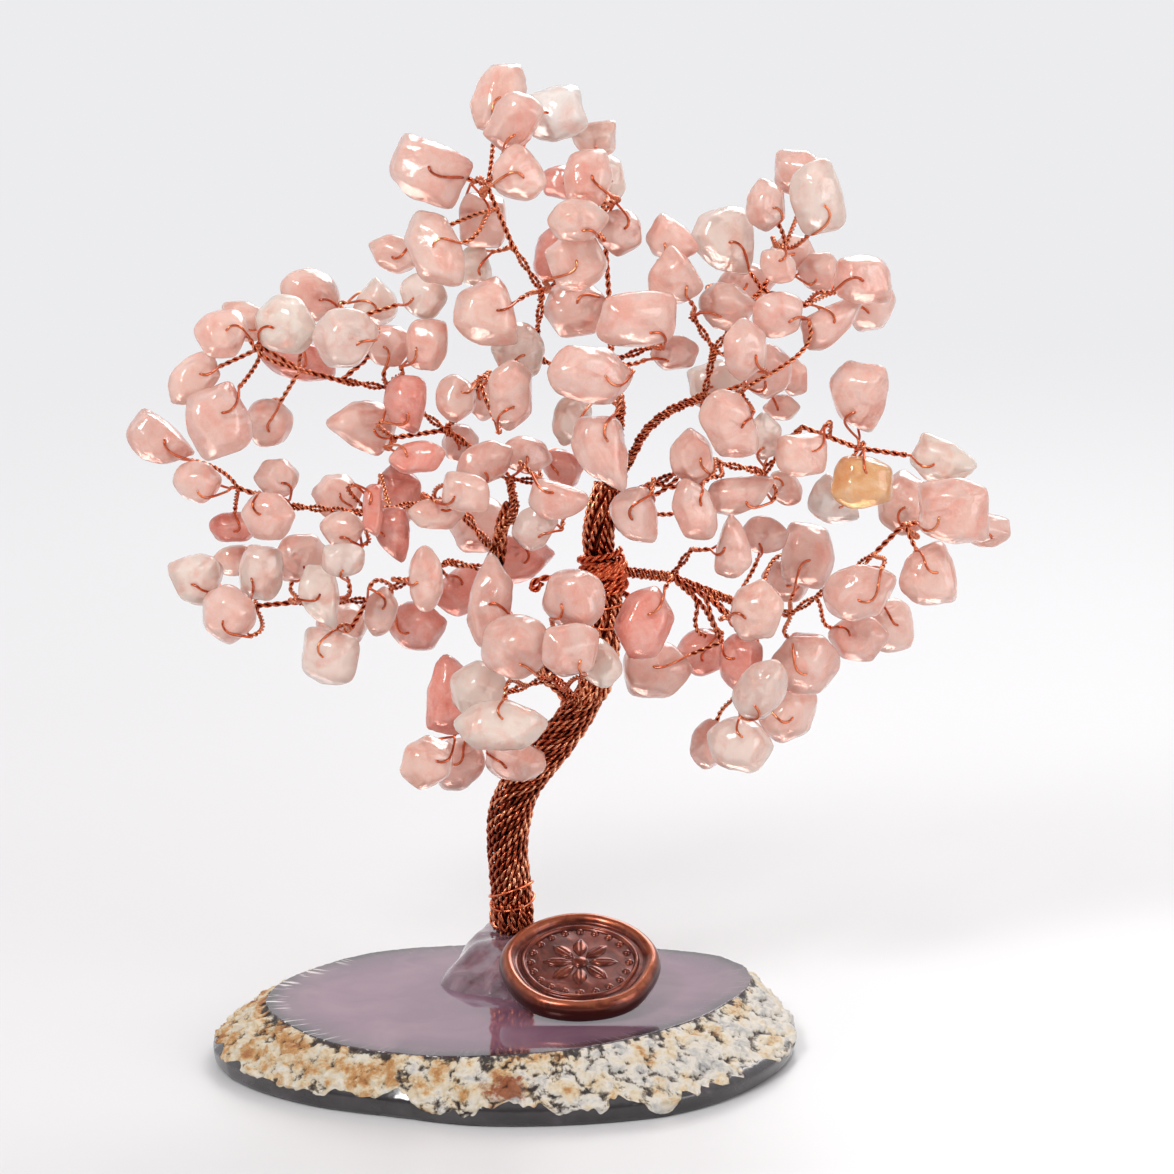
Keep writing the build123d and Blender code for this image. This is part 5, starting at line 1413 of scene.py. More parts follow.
@dataclass
class Trunk:
    """The trunk: wire pairs laid round a core, their upper bundle, the knot and the bindings."""
    nodes: dict
    wirework: Wirework
    rng: np.random.Generator
    handled: Material
    red: Material
    laid_pairs: int = 13
    lay_degrees: float = 43.0
    girth: tuple = ((19.0, 3.65), (27.0, 3.95), (36.0, 3.9), (42.0, 4.05), (47.0, 4.35), (53.0, 3.9),
                    (63.0, 3.6), (71.0, 3.2), (76.0, 2.3), (80.0, 1.5))
    lay_sway: float = 0.22
    sway_length: float = 7.0
    laid_tones: Span = (0.35, 0.95)
    trunk_wire: float = 0.375
    trunk_hand: int = -1
    foot_depth: float = 2.6
    upper_jitter: float = 0.16
    # Where an upper pair starts: this many samples down the trunk, and this far out towards its root
    upper_back: int = 12
    upper_out: float = 0.25
    core_strands: int = 6
    core_pitch: float = 26.0
    core_step: float = 0.7
    core_sides: int = 8
    knot_turns: float = 5.5
    knot_samples: int = 90
    knot_jitter: float = 0.14
    # Of each crossing coil: its lean, its share of the knot's height, and its reach from the axis
    knot_coils: tuple = ((0.9, 0.5, 4.35), (-1.3, 0.36, 4.75))
    coil_jitter: float = 0.12
    winding_turns: float = 6.0
    winding_reach: float = 2.2
    # How far below the limb's end the winding starts and ends
    winding_span: Span = (8.5, 1.0)
    winding_jitter: float = 0.1
    winding_samples: int = 70
    wound_tone: float = 0.8
    crossing_tone: float = 0.9
    draw_in: float = 0.94
    binding_step: float = 0.4
    binding_sides: int = 7
    binding_lean: float = 2.0
    # Of a binding's loose end and of its start: how far they run on, and how far outwards
    binding_ends: tuple = ((2.6, 1.0), (1.6, 0.8))
    # Bearings of the folded pairs at the foot, and the way of a fold: outwards, aside, up
    fold_degrees: tuple = (172.0, 198.0, 222.0, 249.0, 276.0, 304.0)
    fold_way: tuple = ((4.3, -1.1, 6.5), (4.9, -0.8, 3.6), (4.9, -0.55, 1.4), (4.8, 0.0, 0.75),
                       (4.8, 0.55, 1.4), (4.9, 0.9, 3.4), (4.3, 1.5, 5.6))
    # How far a fold is lifted, and its tone
    fold_lifts: Span = (-0.4, 0.9)
    fold_tones: Span = (0.4, 0.8)
    # Of each place where a root rope lies in the trunk: how far back, against its rise, and how far aside
    stub_places: tuple = ((1.0, 0.5), (0.55, 0.95))
    stub_rise: float = 14.0
    stub_aside: float = 2.6
    stub_ends: Span = (-2.4, 0.5)
    axis_step: float = 0.5

    def lines(self, node: str, sides: int) -> list[tuple[np.ndarray, float]]:
        """The middle lines of a node's tubes, each from its low end up, and their radii."""
        found = [solid.middle_line(sides) for solid in solids_of(self.nodes[node])]
        return [(line if line[0][2] < line[-1][2] else line[::-1], radius) for line, radius in found]

    def __post_init__(self) -> None:
        """Reads the core and finds the trunk's and the limb's middle lines."""
        self.cores = sorted(self.lines("trunk_core", CORE_SIDES), key=lambda item: item[0][0][2])
        self.axis = smooth_line(np.vstack([line for line, _ in self.cores]), self.axis_step)
        self.across = steady_across(self.axis)
        self.over = np.cross(headings(self.axis), self.across)
        self.limb = self.lines("trunk_left_limb", LAID_SIDES)
        self.limb_axis = smooth_line(np.mean([line for line, _ in self.limb], axis=0), self.axis_step)

    def lay_pair(self, pile: Pile, points: np.ndarray, tone: float) -> None:
        """Adds one of the trunk's twisted pairs through points."""
        self.wirework.pair_through(pile, points, self.rng, self.trunk_wire, tone, self.trunk_hand)

    def keep(self, pile: Pile, name: str, copper: Material, *replaced: str) -> None:
        """Makes a pile of wires one piece of the trunk."""
        dress(pile, name, [copper], TRUNK_BODY, WIRE_SLOT, *replaced)

    def laid(self) -> None:
        """Builds the pairs laid side by side in a steep helix round the lower trunk."""
        heights, radii = zip(*self.girth)
        last = int(np.argmax(self.axis[:, 2] > heights[-1]))
        axis, across, over = self.axis[:last], self.across[:last], self.over[:last]
        girth = np.interp(axis[:, 2], heights, radii)
        steps = lengths(np.diff(axis, axis=0, prepend=axis[:1]))
        turn = np.cumsum(math.tan(math.radians(self.lay_degrees)) / np.maximum(girth, 3.0) * steps)
        pile = Pile()
        for k, start in enumerate(circle(self.laid_pairs)):
            bearing = (turn + start)[:, None]
            uneven = girth + self.lay_sway * np.array([swell(p, self.sway_length, 3.0 * k) for p in axis])
            line = axis + uneven[:, None] * around(bearing, across, over)
            foot = line[0] - unit(line[1] - line[0]) * self.foot_depth
            self.lay_pair(pile, np.vstack((foot, line[::4])), self.rng.uniform(*self.laid_tones))
        self.keep(pile, "trunk_laid_pairs", self.handled, "trunk_lower_strands")

    def upper(self) -> None:
        """Builds the looser pairs that run on above the bend, into the crown and the left limb."""
        pile = Pile()
        for line, _ in self.lines("trunk_upper_strands", LAID_SIDES) + self.limb:
            near = self.axis[nearest(self.axis, line[0]) - self.upper_back]
            start = near + (line[0] - near) * self.upper_out
            jitter = self.rng.normal(0.0, self.upper_jitter, line.shape)
            self.lay_pair(pile, np.vstack((start, line + jitter)), self.rng.uniform(0.4, 1.0))
        self.keep(pile, "trunk_upper_pairs", self.handled, "trunk_upper_strands", "trunk_left_limb")

    def heart(self) -> None:
        """Builds the bundle of wires inside the laid pairs."""
        pile = Pile()
        for line, radius in self.cores:
            path = smooth_line(line, self.core_step)
            across = steady_across(path)
            wire = radius / 3
            pile.tube(path, across, wire, self.core_sides, 0.2)
            for strand, out in twisted(path, across, self.core_strands, 2 * wire, self.core_pitch, 0.0):
                # Each strand is drawn darker on its side towards the core wire: painted shade.
                pile.tube(strand, out, wire, self.core_sides, self.rng.uniform(0.1, 0.6), 0.6)
        self.keep(pile, "trunk_inner_bundle", self.handled, "trunk_core")

    def knot(self) -> None:
        """Builds the wound knot: its even turns, and more that cross them aslant."""
        pile = Pile()
        for line, _ in self.lines("trunk_knot", LAID_SIDES):
            uneven = line + self.rng.normal(0.0, self.knot_jitter, line.shape)
            self.lay_pair(pile, uneven, self.wound_tone)
            low, high = line[:, 2].min(), line[:, 2].max()
            for lean, tall, reach in self.knot_coils:
                turns = np.linspace(0.0, 2 * math.pi * self.knot_turns, self.knot_samples)
                # Each coil climbs and comes down again once over its turns.
                wave = np.abs((turns / (2 * math.pi * self.knot_turns) * 2.0 + 0.5) % 2.0 - 1.0) * 2 - 1
                rise = (low + high) / 2 + 0.5 * (high - low) * tall * wave + lean * np.sin(turns * 0.93)
                near = [int(np.argmin(np.abs(self.axis[:, 2] - z))) for z in rise]
                reaches = (reach + self.rng.normal(0.0, self.coil_jitter, len(turns)))[:, None]
                coil = self.axis[near] + reaches * np.stack((np.cos(turns), np.sin(turns), 0 * turns), axis=1)
                coil[:, 2] = rise
                self.lay_pair(pile, coil, self.crossing_tone)
        self.keep(pile, "trunk_wound_knot", self.red, "trunk_knot")

    def limb_winding(self) -> None:
        """Builds the pair wound round the left limb, and the loose pair left of the knot."""
        pile = Pile()
        below = self.limb_axis[:, 2].max() - self.limb_axis[:, 2]
        near = self.limb_axis[(below < self.winding_span[0]) & (below > self.winding_span[1])]
        line = near[np.linspace(0, len(near) - 1, self.winding_samples).astype(int)]
        across = steady_across(line)
        over = np.cross(headings(line), across)
        turns = np.linspace(0.0, 2 * math.pi * self.winding_turns, len(line))[:, None]
        coil = line + self.winding_reach * around(turns, across, over)
        uneven = coil + self.rng.normal(0.0, self.winding_jitter, coil.shape)
        self.lay_pair(pile, uneven, self.wound_tone)
        for places in SIDE_PAIRS_PX["trunk"]:
            self.lay_pair(pile, PICTURE.points(places), self.crossing_tone)
        self.keep(pile, "trunk_limb_winding", self.red)

    def bindings(self) -> None:
        """Builds the two thin bindings, each two turns with a loose end."""
        pile = Pile()
        for line, radius in self.lines("trunk_bindings", LAID_SIDES):
            middle = line.mean(axis=0)
            line = middle + (line - middle) * np.array([self.draw_in, self.draw_in, 1.0])
            turns = np.linspace(0.0, 4 * math.pi, len(line))
            line[:, 2] += self.binding_lean * np.sin(turns + 0.6) * np.linspace(1.0, -1.1, len(line))
            middle = line.mean(axis=0)
            loose, early = (end + unit(end - before) * on + unit(end - middle) * out
                            for (end, before), (on, out) in zip(((line[-1], line[-2]), (line[0], line[1])),
                                                                self.binding_ends))
            path = smooth_line(np.vstack((early, line, loose)), self.binding_step)
            pile.tube(path, steady_across(path), 0.75 * radius, self.binding_sides, self.wound_tone)
        self.keep(pile, "trunk_thin_bindings", self.red, "trunk_bindings")

    def foot_folds(self) -> None:
        """Builds the pairs that end at the foot folded back on themselves."""
        pile = Pile()
        for bearing in np.radians(self.fold_degrees):
            way = np.array([math.cos(bearing), math.sin(bearing), 0.0])
            side = np.cross(UP, way)
            lift = self.rng.uniform(*self.fold_lifts)
            points = [self.axis[0] + way * reach + side * aside + UP * (rise + lift * (rise > 2.0))
                      for reach, aside, rise in self.fold_way]
            self.lay_pair(pile, np.array(points), self.rng.uniform(*self.fold_tones))
        self.keep(pile, "trunk_foot_folds", self.handled)

    def stubs(self, boughs: Sequence[Bough]) -> None:
        """Builds the stretches by which the boughs' ropes rise out of the trunk.

        Args:
            boughs: The boughs, each with its bend place and its way out.
        """
        pile = Pile()
        for bough in boughs:
            axis = min((self.axis, self.limb_axis), key=lambda line: lengths(line - bough.bend).min())
            near = nearest(axis, bough.bend)
            side = bough.bend - axis[near]
            side = unit(side) * min(float(np.linalg.norm(side)), self.stub_aside)
            points = []
            for back, share in self.stub_places:
                points.append(axis[max(0, near - int(back * self.stub_rise / self.axis_step))] + side * share)
            points += [bough.bend + bough.way_out * end for end in self.stub_ends]
            self.wirework.rope(pile, np.array(points), bough.root_radius, self.rng, 0.75)
        self.keep(pile, "bough_root_ropes", self.handled)

    def build(self, boughs: Sequence[Bough]) -> None:
        """Builds all of the trunk.

        Args:
            boughs: The boughs that leave it.
        """
        for make in (self.laid, self.upper, self.heart, self.knot, self.limb_winding, self.bindings,
                     self.foot_folds):
            make()
        self.stubs(boughs)


def ring_by_bearing(points: np.ndarray, centre: np.ndarray, bearings: np.ndarray) -> np.ndarray:
    """Reads a ring's radius at every bearing.

    Args:
        points: The ring's points.
        centre: The middle that bearings are taken from.
        bearings: The wanted bearings, in radians.

    Returns:
        The radii there.
    """
    arms = points[:, :2] - centre[:2]
    found = np.arctan2(arms[:, 1], arms[:, 0])
    order = np.argsort(found)
    return np.interp(bearings, found[order], lengths(arms)[order], period=2 * math.pi)


@dataclass
class AgateSlice:
    """The stone slice: a sawn foot, a knobbly rind that slopes in, and a polished face."""
    node: Object
    stations: int = 840
    foot_rows: int = 9
    rind_rows: int = 40
    waist_height: float = 4.0
    bulge: float = 0.4
    # The rind's lower edge: its usual height, its swing, and the heights that it keeps between
    skirt_height: float = 3.9
    skirt_swing: float = 1.9
    skirt_limits: Span = (0.9, 7.2)
    # Of each size of knob: its size against the largest, and its share of the relief
    knob_kinds: tuple = ((1.0, 0.45), (0.45, 0.33), (0.2, 0.22))
    knob_size: float = 3.4
    knob_reach: float = 0.75
    warp_size: float = 4.0
    warp_seeds: tuple[float, float, float] = (21.0, 35.0, 47.0)
    knob_height: float = 1.9
    mean_knob: float = 0.55
    crust: float = 0.55
    sunk: float = 0.3
    grain: float = 0.14
    grain_size: float = 0.9
    rim_gap: float = 0.2
    # The swells of the rind's lower edge and of the painted shade below the face: the height, size and seed
    # of each
    edge_swells: tuple = ((1.5, 11.0, 4.0), (1.0, 4.0, 9.0), (0.5, 1.6, 14.0))
    face_shade_swells: tuple = ((0.9, 6.0, 80.0), (0.5, 2.0, 88.0))
    mean_face_shade: float = 0.55
    # The share of the rind's height above which painted shade gathers under the face
    face_shade_from: float = 0.84
    face_depths: tuple = (0.1, 0.25, 0.5, 0.8, 1.2, 1.8, 2.6, 3.4, 4.4, 6.0, 9.0, 14.0, 20.0)

    def __post_init__(self) -> None:
        """Reads the outlines of the foot, the waist and the face."""
        low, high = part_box("agate_slice")
        self.low, self.high = np.array(low) / MM, np.array(high) / MM
        self.top = float(self.high[2])
        self.bearings = circle(self.stations)
        self.way = np.stack((np.cos(self.bearings), np.sin(self.bearings)), axis=1)
        self.under, self.waist, self.face = (self.ring(z) for z in (0.0, self.waist_height, self.top))

    def ring(self, height: float) -> np.ndarray:
        """The slice's radius at every bearing, read from the corners at one height."""
        points = np.vstack([solid.points for solid in solids_of(self.node)])
        return ring_by_bearing(points[np.abs(points[:, 2] - height) < 0.1], np.zeros(3), self.bearings)

    def radius(self, heights: np.ndarray) -> np.ndarray:
        """Reads the slice's smooth form.

        Args:
            heights: A height for every bearing.

        Returns:
            The radii there.
        """
        low = np.clip(heights / self.waist_height, 0, 1)
        high = np.clip((heights - self.waist_height) / (self.top - self.waist_height), 0, 1)
        base = self.under + (self.waist - self.under) * np.sin(math.pi / 2 * low) ** 0.7
        return base + (self.face - self.waist) * high + self.bulge * np.sin(math.pi * high)

    def level(self, radii: np.ndarray, heights: np.ndarray) -> np.ndarray:
        """One ring of points."""
        return np.column_stack((self.way * radii[:, None], np.broadcast_to(heights, radii.shape)))

    def knob(self, point: np.ndarray) -> float:
        """Finds how far the knobs rise at a point.

        Args:
            point: The point.

        Returns:
            The rise, between 0 and 1.
        """
        total = 0.0
        warp = point + np.array([swell(point, self.warp_size, seed) for seed in self.warp_seeds])
        for share, weight in self.knob_kinds:
            gap = noise.voronoi(Vector(warp / (share * self.knob_size)))[0][0]
            total += weight * max(0.0, 1 - (gap / self.knob_reach) ** 2)
        return total

    def foot(self, skirt: np.ndarray) -> np.ndarray:
        """Draws the sawn foot, from below the slice up to the rind.

        Args:
            skirt: The height of the rind's lower edge at every bearing.

        Returns:
            The foot's rings, stacked.
        """
        rows = [self.level(self.under * share, np.float64(0.0)) for share in (0.4, 0.97)]
        rows += [self.level(self.radius(skirt * share), skirt * share)
                 for share in np.linspace(0.0, 1.0, self.foot_rows)]
        rows[2][:, 2] = 0.2
        return np.clip(np.vstack(rows), self.low, self.high)

    def rind(self, skirt: np.ndarray, face_shade: np.ndarray) -> tuple[list[np.ndarray], list[np.ndarray]]:
        """Draws the rind from its lower edge up to the face.

        Args:
            skirt: The height of its lower edge at every bearing.
            face_shade: How much painted shade falls just below the face, at every bearing.

        Returns:
            Its rings, and for each its painted shade: how deep its points lie between knobs, with more just
            below the face.
        """
        rows, hollows = [], []
        for share in np.linspace(0.0, 1.0, self.rind_rows):
            heights = skirt + (self.top - self.rim_gap - skirt) * share
            base = self.level(self.radius(heights), heights)
            fade = min(1.0, 5.0 * share + 0.5) * min(1.0, 4.0 * (1 - share) + 0.3)
            rise = np.array([self.knob(p) for p in base])
            grain = np.array([swell(p, self.grain_size, 60.0) for p in base])
            relief = (rise - self.mean_knob) * self.knob_height
            out = self.crust * fade + (relief + self.grain * grain) * fade - self.sunk
            base[:, :2] += self.way * out[:, None]
            base[:, 2] += 0.6 * relief * fade * min(1.0, 6.0 * share)
            base[:, 2] = np.minimum(base[:, 2], self.top - 0.06)
            rows.append(base)
            # Painted shade: darker the deeper a place lies between knobs, and in a band just below the face.
            face_shading = face_shade * max(0.0, share - self.face_shade_from) / (1 - self.face_shade_from)
            hollows.append(np.clip((0.56 - rise) * 1.8 + face_shading, 0, 1))
        return rows, hollows

    def build(self, *finishes: Material) -> None:
        """Builds the slice.

        Args:
            *finishes: The materials of the face, the rind and the foot.
        """
        spots = [np.append(way * 50.0, 0.0) for way in self.way]
        ragged = np.array([swells(p, *self.edge_swells) for p in spots])
        skirt = np.clip(self.skirt_height + self.skirt_swing * ragged, *self.skirt_limits)
        face_shade = np.clip([self.mean_face_shade + swells(p, *self.face_shade_swells) for p in spots], 0, 1)
        pile = Pile()
        foot = self.foot(skirt)
        pile.add(foot, wheel(len(foot) // self.stations, self.stations, closed_start=True), 2,
                 edge=0.0, along=0.0, hollow=0.0)
        rows, hollows = self.rind(skirt, face_shade)
        stacked = np.clip(np.vstack([foot[-self.stations:]] + rows), self.low, self.high)
        # The rind's lower edge is painted dark with the same shade mark.
        pile.add(stacked, wheel(len(rows) + 1, self.stations), 1, edge=0.0, along=0.0,
                 hollow=np.concatenate([np.full(self.stations, 0.8)] + hollows))
        rim = stacked[-self.stations:]
        rim_radius = lengths(rim[:, :2])
        sheet = [rim] + [self.level(rim_radius - depth, np.float64(self.top)) for depth in self.face_depths]
        along = np.tile(self.bearings * float(rim_radius.mean()), len(sheet))
        pile.add(np.vstack(sheet), wheel(len(sheet), self.stations, closed_end=True), 0,
                 edge=np.repeat((0.0, *self.face_depths), self.stations), along=along, hollow=0.0)
        dress(pile, "agate_slab", finishes, TRUNK_BODY, "agate_slice", "agate_slice")


@dataclass
class SealPlane:
    """The plane under the seal, measured on its solid."""
    middle: np.ndarray
    across: np.ndarray
    upward: np.ndarray
    facing: np.ndarray

    @classmethod
    def measured(cls, node: Object) -> "SealPlane":
        """Finds the plane of the seal's back.

        Args:
            node: The seal's node.

        Returns:
            The plane.
        """
        points = np.vstack([solid.points for solid in solids_of(node)])
        facing = np.linalg.svd(points - points.mean(axis=0))[2][2]
        facing = facing * (1 if facing[2] > 0 else -1)
        heights = points @ facing
        back = points[heights < heights.min() + 0.05]
        across = unit(np.cross(UP, facing) * -1)
        across = across * (1 if across[0] > 0 else -1)
        return cls(back.mean(axis=0), across, np.cross(facing, across), facing)

    def height(self, points: np.ndarray) -> np.ndarray:
        """How far points stand in front of the plane."""
        return (points - self.middle) @ self.facing


@dataclass
class ResinMound:
    """The poured lump round the trunk's foot, with the bed that the seal leans in."""
    node: Object
    plane: SealPlane
    stations: int = 160
    bed_gap: float = 0.12
    side_rows: int = 26
    dome: float = 0.5
    lump_size: float = 5.0
    lump_height: float = 0.55
    lump_reach: float = 0.8

    def build(self, resin: Material) -> None:
        """Builds the mound.

        Args:
            resin: Its material.
        """
        points = np.vstack([solid.points for solid in solids_of(self.node)])
        low, high = points[:, 2].min(), points[:, 2].max()
        crown = points[points[:, 2] > high - 0.05]
        foot = points[points[:, 2] < low + 0.05]
        centre = (crown.min(axis=0) + crown.max(axis=0)) / 2
        bearings = circle(self.stations)
        wide, narrow = (ring_by_bearing(edge, centre, bearings) for edge in (foot, crown))
        way = np.stack((np.cos(bearings), np.sin(bearings)), axis=1)
        levels = [(wide * (1 - share) + narrow * share,
                   low + (high - low) * math.sin(math.pi / 2 * share) ** 0.8)
                  for share in np.linspace(0.0, 1.0, self.side_rows)]
        levels += [(narrow * share, high + self.dome * (1 - share)) for share in (0.8, 0.55, 0.3)]
        stacked = np.vstack([np.column_stack((centre[:2] + way * radius[:, None],
                                              np.full(self.stations, rise))) for radius, rise in levels])
        lumps = np.array([swell(p, self.lump_size, 3.0) for p in stacked])
        free = np.clip((stacked[:, 2] - low) / 2.0, 0, 1)
        stacked[:, 2] += self.lump_height * lumps * free
        stacked[:, :2] += unit(stacked[:, :2] - centre[:2]) * (self.lump_reach * lumps * free)[:, None]
        over = self.plane.height(stacked) + self.bed_gap
        stacked -= np.outer(np.maximum(over, 0.0), self.plane.facing)
        stacked[:, 2] = np.maximum(stacked[:, 2], low - 0.02)
        pile = Pile()
        pile.add(stacked, wheel(len(levels), self.stations, closed_end=True))
        dress(pile, "resin_pour", [resin], TRUNK_BODY, "resin_mound", "resin_mound")


@dataclass
class WaxSeal:
    """The stamped seal: a rolled rim, a ring, and a plain rosette in a circle of beads."""
    node: Object
    plane: SealPlane
    radius: float = 17.2
    thickness: float = 3.4
    ring_radius: float = 12.2
    ring_width: float = 0.5
    relief: float = 0.62
    petal_count: int = 8
    petal_length: float = 6.4
    petal_width: float = 3.0
    petal_centre: float = 5.0
    crease_width: float = 0.22
    bead_count: int = 20
    bead_radius: float = 0.77
    bead_circle: float = 10.6
    button_radius: float = 1.7
    stations: int = 400
    row_step: float = 0.16
    flow_height: float = 0.09
    # How much the height paints raised places lighter and low ones darker, as painted highlight and shade
    painted_light_of_rise: float = 0.4
    # The rounded rim: how far out from the seal's radius, and how high, from the back to the field
    rim: tuple = ((-1.3, 0.0), (-0.45, 0.25), (0.0, 1.0), (0.12, 1.9), (0.02, 2.9), (-0.35, 3.8),
                  (-0.95, 4.45), (-1.6, 4.7), (-2.3, 4.55), (-2.85, 4.1), (-3.2, 3.6), (-3.6, 3.4))

    def sector(self, bearings: np.ndarray, count: int) -> np.ndarray:
        """How far bearings lie from the nearest of some even spokes, in radians."""
        return ((bearings * count / (2 * math.pi) + 0.5) % 1.0 - 0.5) * 2 * math.pi / count

    def dome(self, reach: np.ndarray) -> np.ndarray:
        """The height of a round dome at a share of its radius."""
        return np.clip(1 - reach ** 2, 0, None) ** 0.5

    def stamp(self, radius: float, bearings: np.ndarray) -> np.ndarray:
        """Finds what the stamp leaves above the field.

        Args:
            radius: How far out the places lie.
            bearings: Their bearings, in radians.

        Returns:
            The heights.
        """
        ring = self.dome((radius - self.ring_radius) / self.ring_width) * np.ones(len(bearings))
        beside = self.sector(bearings, self.bead_count) * radius
        beads = self.dome(np.hypot(radius - self.bead_circle, beside) / self.bead_radius)
        turn = self.sector(bearings, self.petal_count)
        along = (radius * np.cos(turn) - self.petal_centre) / (self.petal_length / 2)
        aside = radius * np.sin(turn)
        width = self.petal_width / 2 * np.cos(np.clip(along, -1, 1) * math.pi / 2)
        petals = self.dome(aside / np.maximum(width, 0.02)) * np.clip(2 * (1 - np.abs(along)), 0, 1)
        petals = petals * (1 - 0.45 * np.exp(-(aside / self.crease_width) ** 2))
        button = 1.3 * self.dome(radius / self.button_radius) * np.ones(len(bearings))
        return self.relief * np.maximum.reduce((ring, beads, petals, button))

    def build(self, wax: Material) -> None:
        """Builds the seal.

        Args:
            wax: Its material.
        """
        bearings = circle(self.stations)
        spokes = np.stack((np.cos(bearings), np.sin(bearings), 0 * bearings), axis=1)
        wobble = np.array([0.16 * math.sin(5 * t) + 0.3 * swell(spoke, 0.5, 2.0)
                           for t, spoke in zip(bearings, spokes)])
        side = smooth_line(np.array([(self.radius + out, 0.0, height) for out, height in self.rim]), 0.22)
        rows = [(float(radius), float(height)) for radius, _, height in side]
        inner = rows[-1][0]
        rows += [(r, self.thickness) for r in np.arange(inner - self.row_step, 0.1, -self.row_step)]
        rings, rises = [], []
        for radius, height in rows:
            reach = radius + wobble * (radius / self.radius) ** 2
            lift = np.full(self.stations, height)
            if radius < inner:
                lift = lift + self.stamp(radius, bearings)
            if height > 1.5:
                lift = lift + self.flow_height * np.array([swell(p, 4.0, 6.0)
                                                           for p in spokes * reach[:, None]])
            rings.append(self.plane.middle + np.outer(reach * spokes[:, 0], self.plane.across)
                         + np.outer(reach * spokes[:, 1], self.plane.upward)
                         + np.outer(lift, self.plane.facing))
            # Painted highlight on raised places and painted shade on low ones.
            rises.append((lift - self.thickness) * self.painted_light_of_rise)
        pile = Pile()
        pile.add(np.vstack(rings), wheel(len(rings), self.stations, closed_start=True, closed_end=True),
                 rise=np.concatenate(rises))
        dress(pile, "stamped_wax_seal", [wax], TRUNK_BODY, "wax_seal", "wax_seal")


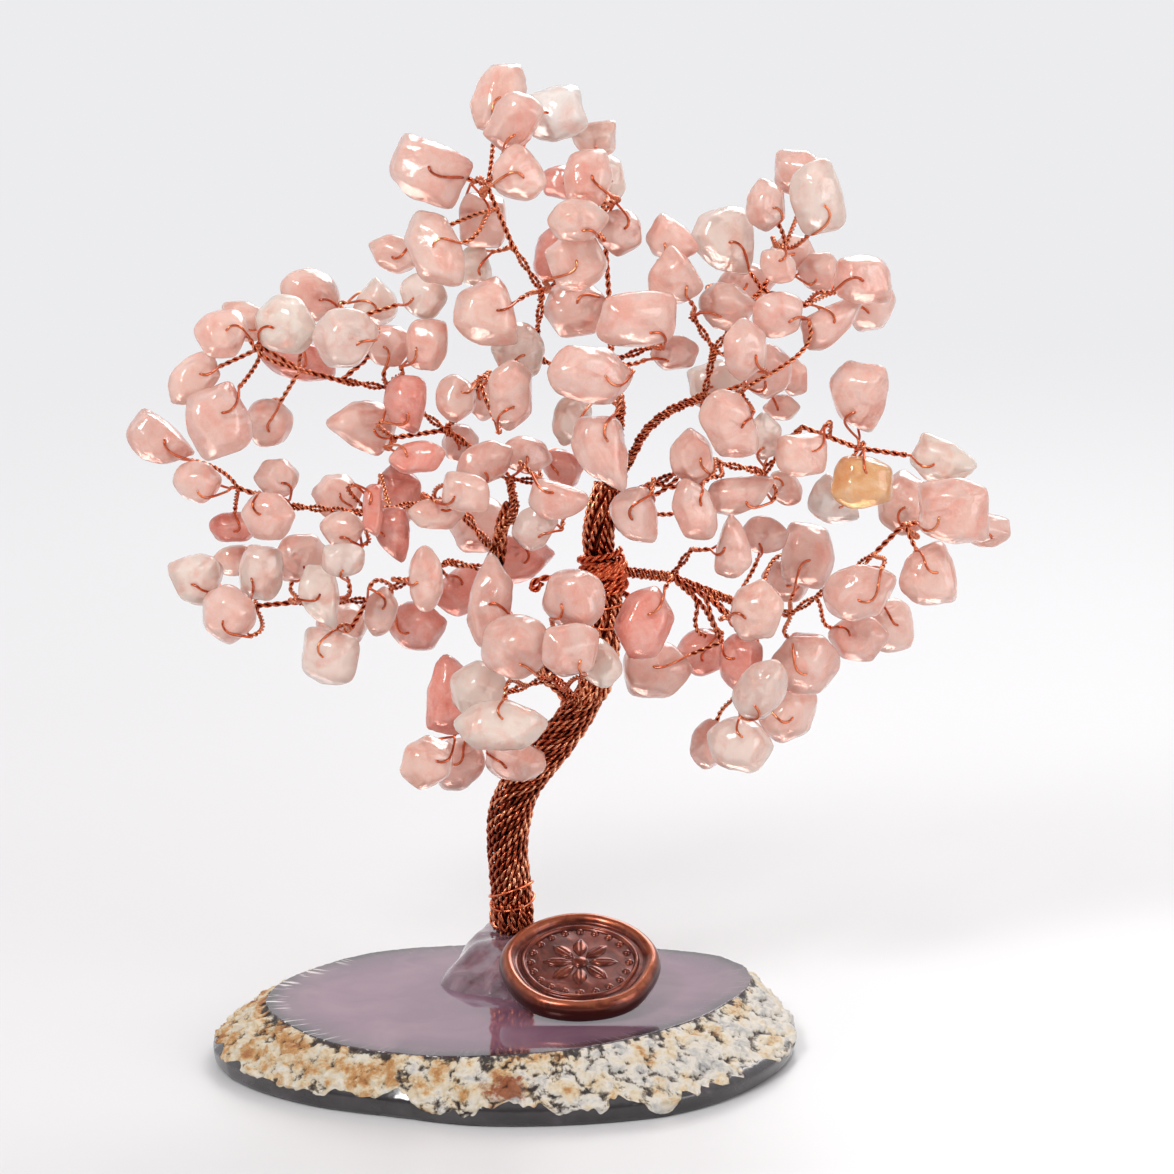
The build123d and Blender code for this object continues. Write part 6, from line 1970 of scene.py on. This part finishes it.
@dataclass(frozen=True)
class Studio:
    """A plain pale floor and soft light."""
    floor_side: float = 30.0
    floor_colour: str = "#d6d6d8"
    grain_colour: str = "#dadadc"
    grain_size: float = 0.4
    # Between these distances from the tree, in metres, the floor runs out to the even tone
    fade_out: Span = (0.16, 1.1)
    far_colour: str = "#ececee"
    sky_colour: str = "#fbf7f5"
    sky_light: float = 0.68
    # Of each lamp: its name, its place and side in metres, and its power in watts
    lamps: tuple = (("key_softbox", (-0.65, -0.95, 1.15), 0.4, 12.0),
                    ("fill_softbox", (1.1, -0.7, 0.5), 0.8, 5.5),
                    ("rear_softbox", (0.35, 1.0, 0.9), 0.7, 8.5))

    def build(self) -> None:
        """Makes the floor, the sky and the lamps."""
        half = self.floor_side / 2
        mesh = bpy.data.meshes.new("studio_floor")
        mesh.from_pydata([(-half, -half, 0), (half, -half, 0), (half, half, 0), (-half, half, 0)], [],
                         [(0, 1, 2, 3)])
        floor = bpy.data.objects.new("studio_floor", mesh)
        bpy.context.scene.collection.objects.link(floor)
        floor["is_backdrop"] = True
        mesh.materials.append(self.paint())
        self.sky()
        for name, place, side, power in self.lamps:
            self.softbox(name, Vector(place), side, power)

    def seen_rays(self, shader: Shader) -> NodeSocket:
        """Tells the rays that see the background from those that light it.

        Args:
            shader: The tree that asks.

        Returns:
            One for rays that see it, in a mirror or through glass too, and else nought.
        """
        camera, glossy, through = (shader.add("LightPath", f"Is {kind} Ray")
                                   for kind in ("Camera", "Glossy", "Transmission"))
        return shader.maths("MAXIMUM", shader.maths("MAXIMUM", camera, glossy), through)

    def paint(self) -> Material:
        """Makes the floor's matt pale paint, which runs out to an even tone far from the tree.

        Returns:
            The material.
        """
        shader = Shader(bpy.data.materials.new("painted_floor_pale"))
        grain = shader.add("TexNoise", "Fac", {"Vector": shader.place(), "Scale": 1 / self.grain_size,
                                               "Detail": 2.0})
        colour = shader.ramp(grain, (0.3, self.floor_colour), (0.7, self.grain_colour))
        near = shader.add("BsdfPrincipled", "BSDF", {"Base Color": colour, "Roughness": 0.4})
        far = shader.add("Emission", "Emission", {"Color": self.far_colour, "Strength": 1.0})
        reach = shader.add("VectorMath", "Value", {0: shader.place()}, operation="LENGTH")
        share = shader.span(reach, *self.fade_out, interpolation_type="SMOOTHSTEP")
        shown = shader.maths("MULTIPLY", share, self.seen_rays(shader))
        mixed = shader.add("MixShader", "Shader", {0: shown, 1: near, 2: far})
        shader.add("OutputMaterial", inputs={"Surface": mixed})
        return shader.owner

    def sky(self) -> None:
        """Makes the world: pale to the eye, and with a darker side behind the lamps in reflections."""
        world = bpy.data.worlds.new("studio_sky")
        bpy.context.scene.world = world
        shader = Shader(world)
        way = shader.add("TexCoord", "Generated")
        tone = shader.span(shader.add("SeparateXYZ", "Y", {"Vector": way}), -0.9, 0.1, 0.3, 1.0,
                           interpolation_type="SMOOTHSTEP")
        even = shader.maths("MAXIMUM", tone, shader.add("LightPath", "Is Camera Ray"))
        light = shader.add("Background", "Background", {"Color": self.sky_colour, "Strength": self.sky_light})
        shown = shader.add("Background", "Background", {"Color": self.far_colour, "Strength": even})
        mixed = shader.add("MixShader", "Shader", {0: self.seen_rays(shader), 1: light, 2: shown})
        shader.add("OutputWorld", inputs={"Surface": mixed})

    def softbox(self, name: str, place: Vector, side: float, power: float) -> None:
        """Makes one square lamp that faces the tree.

        Args:
            name: The lamp's name.
            place: Where it stands, in metres.
            side: Its side, in metres.
            power: Its power, in watts.
        """
        lamp = bpy.data.lights.new(name, "AREA")
        lamp.shape, lamp.size, lamp.energy = "SQUARE", side, power
        stand = bpy.data.objects.new(name, lamp)
        stand.location = place
        stand.rotation_euler = (Vector((0.015, 0.02, 0.1)) - place).to_track_quat("-Z", "Y").to_euler()
        bpy.context.scene.collection.objects.link(stand)


def main() -> None:
    """Builds the tree around the frame and lights it."""
    logging.basicConfig(level=logging.INFO, format="%(message)s")
    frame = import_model()
    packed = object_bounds()
    nodes = frame["nodes"]
    bends = {joint["child"]: np.array(joint["pos_m"]) / MM for joint in frame["joints"]}
    bpy.context.scene.view_settings.view_transform = "Standard"
    PICTURE.camera()
    Studio().build()
    handled = Copper("copper_wire_handled", "#fbb48a", "#b5583a", "#38110a", 0.25).material()
    bright = Copper("copper_wire_bright", "#f7a67c", "#cb6240", "#5c1a0e", 0.22).material()
    red = Copper("copper_wire_red", "#f08a60", "#c24c2c", "#5a160c", 0.26).material()
    quartz = RoseQuartz().material()
    wirework = Wirework()
    low, high = (np.array(corner) / MM for corner in packed)
    boughs = [Bough(name, nodes, bends[f"{name}_bough"], wirework, np.random.default_rng(100 + k), low, high)
              for k, name in enumerate(BOUGH_NAMES)]
    Crown(boughs).give_room()
    for bough in boughs:
        bough.ropes(bright)
        bough.twigs_and_hooks(bright)
        bough.quartz_chips(quartz)
    Trunk(nodes, wirework, np.random.default_rng(7), handled, red).build(boughs)
    plane = SealPlane.measured(nodes["wax_seal"])
    AgateSlice(nodes["agate_slice"]).build(PolishedAgate().material(), AgateRind().material(),
                                           SawnAgate().material())
    ResinMound(nodes["resin_mound"], plane).build(ClearResin().material())
    WaxSeal(nodes["wax_seal"], plane).build(SealingWax().material())


if __name__ == "__main__":
    main()
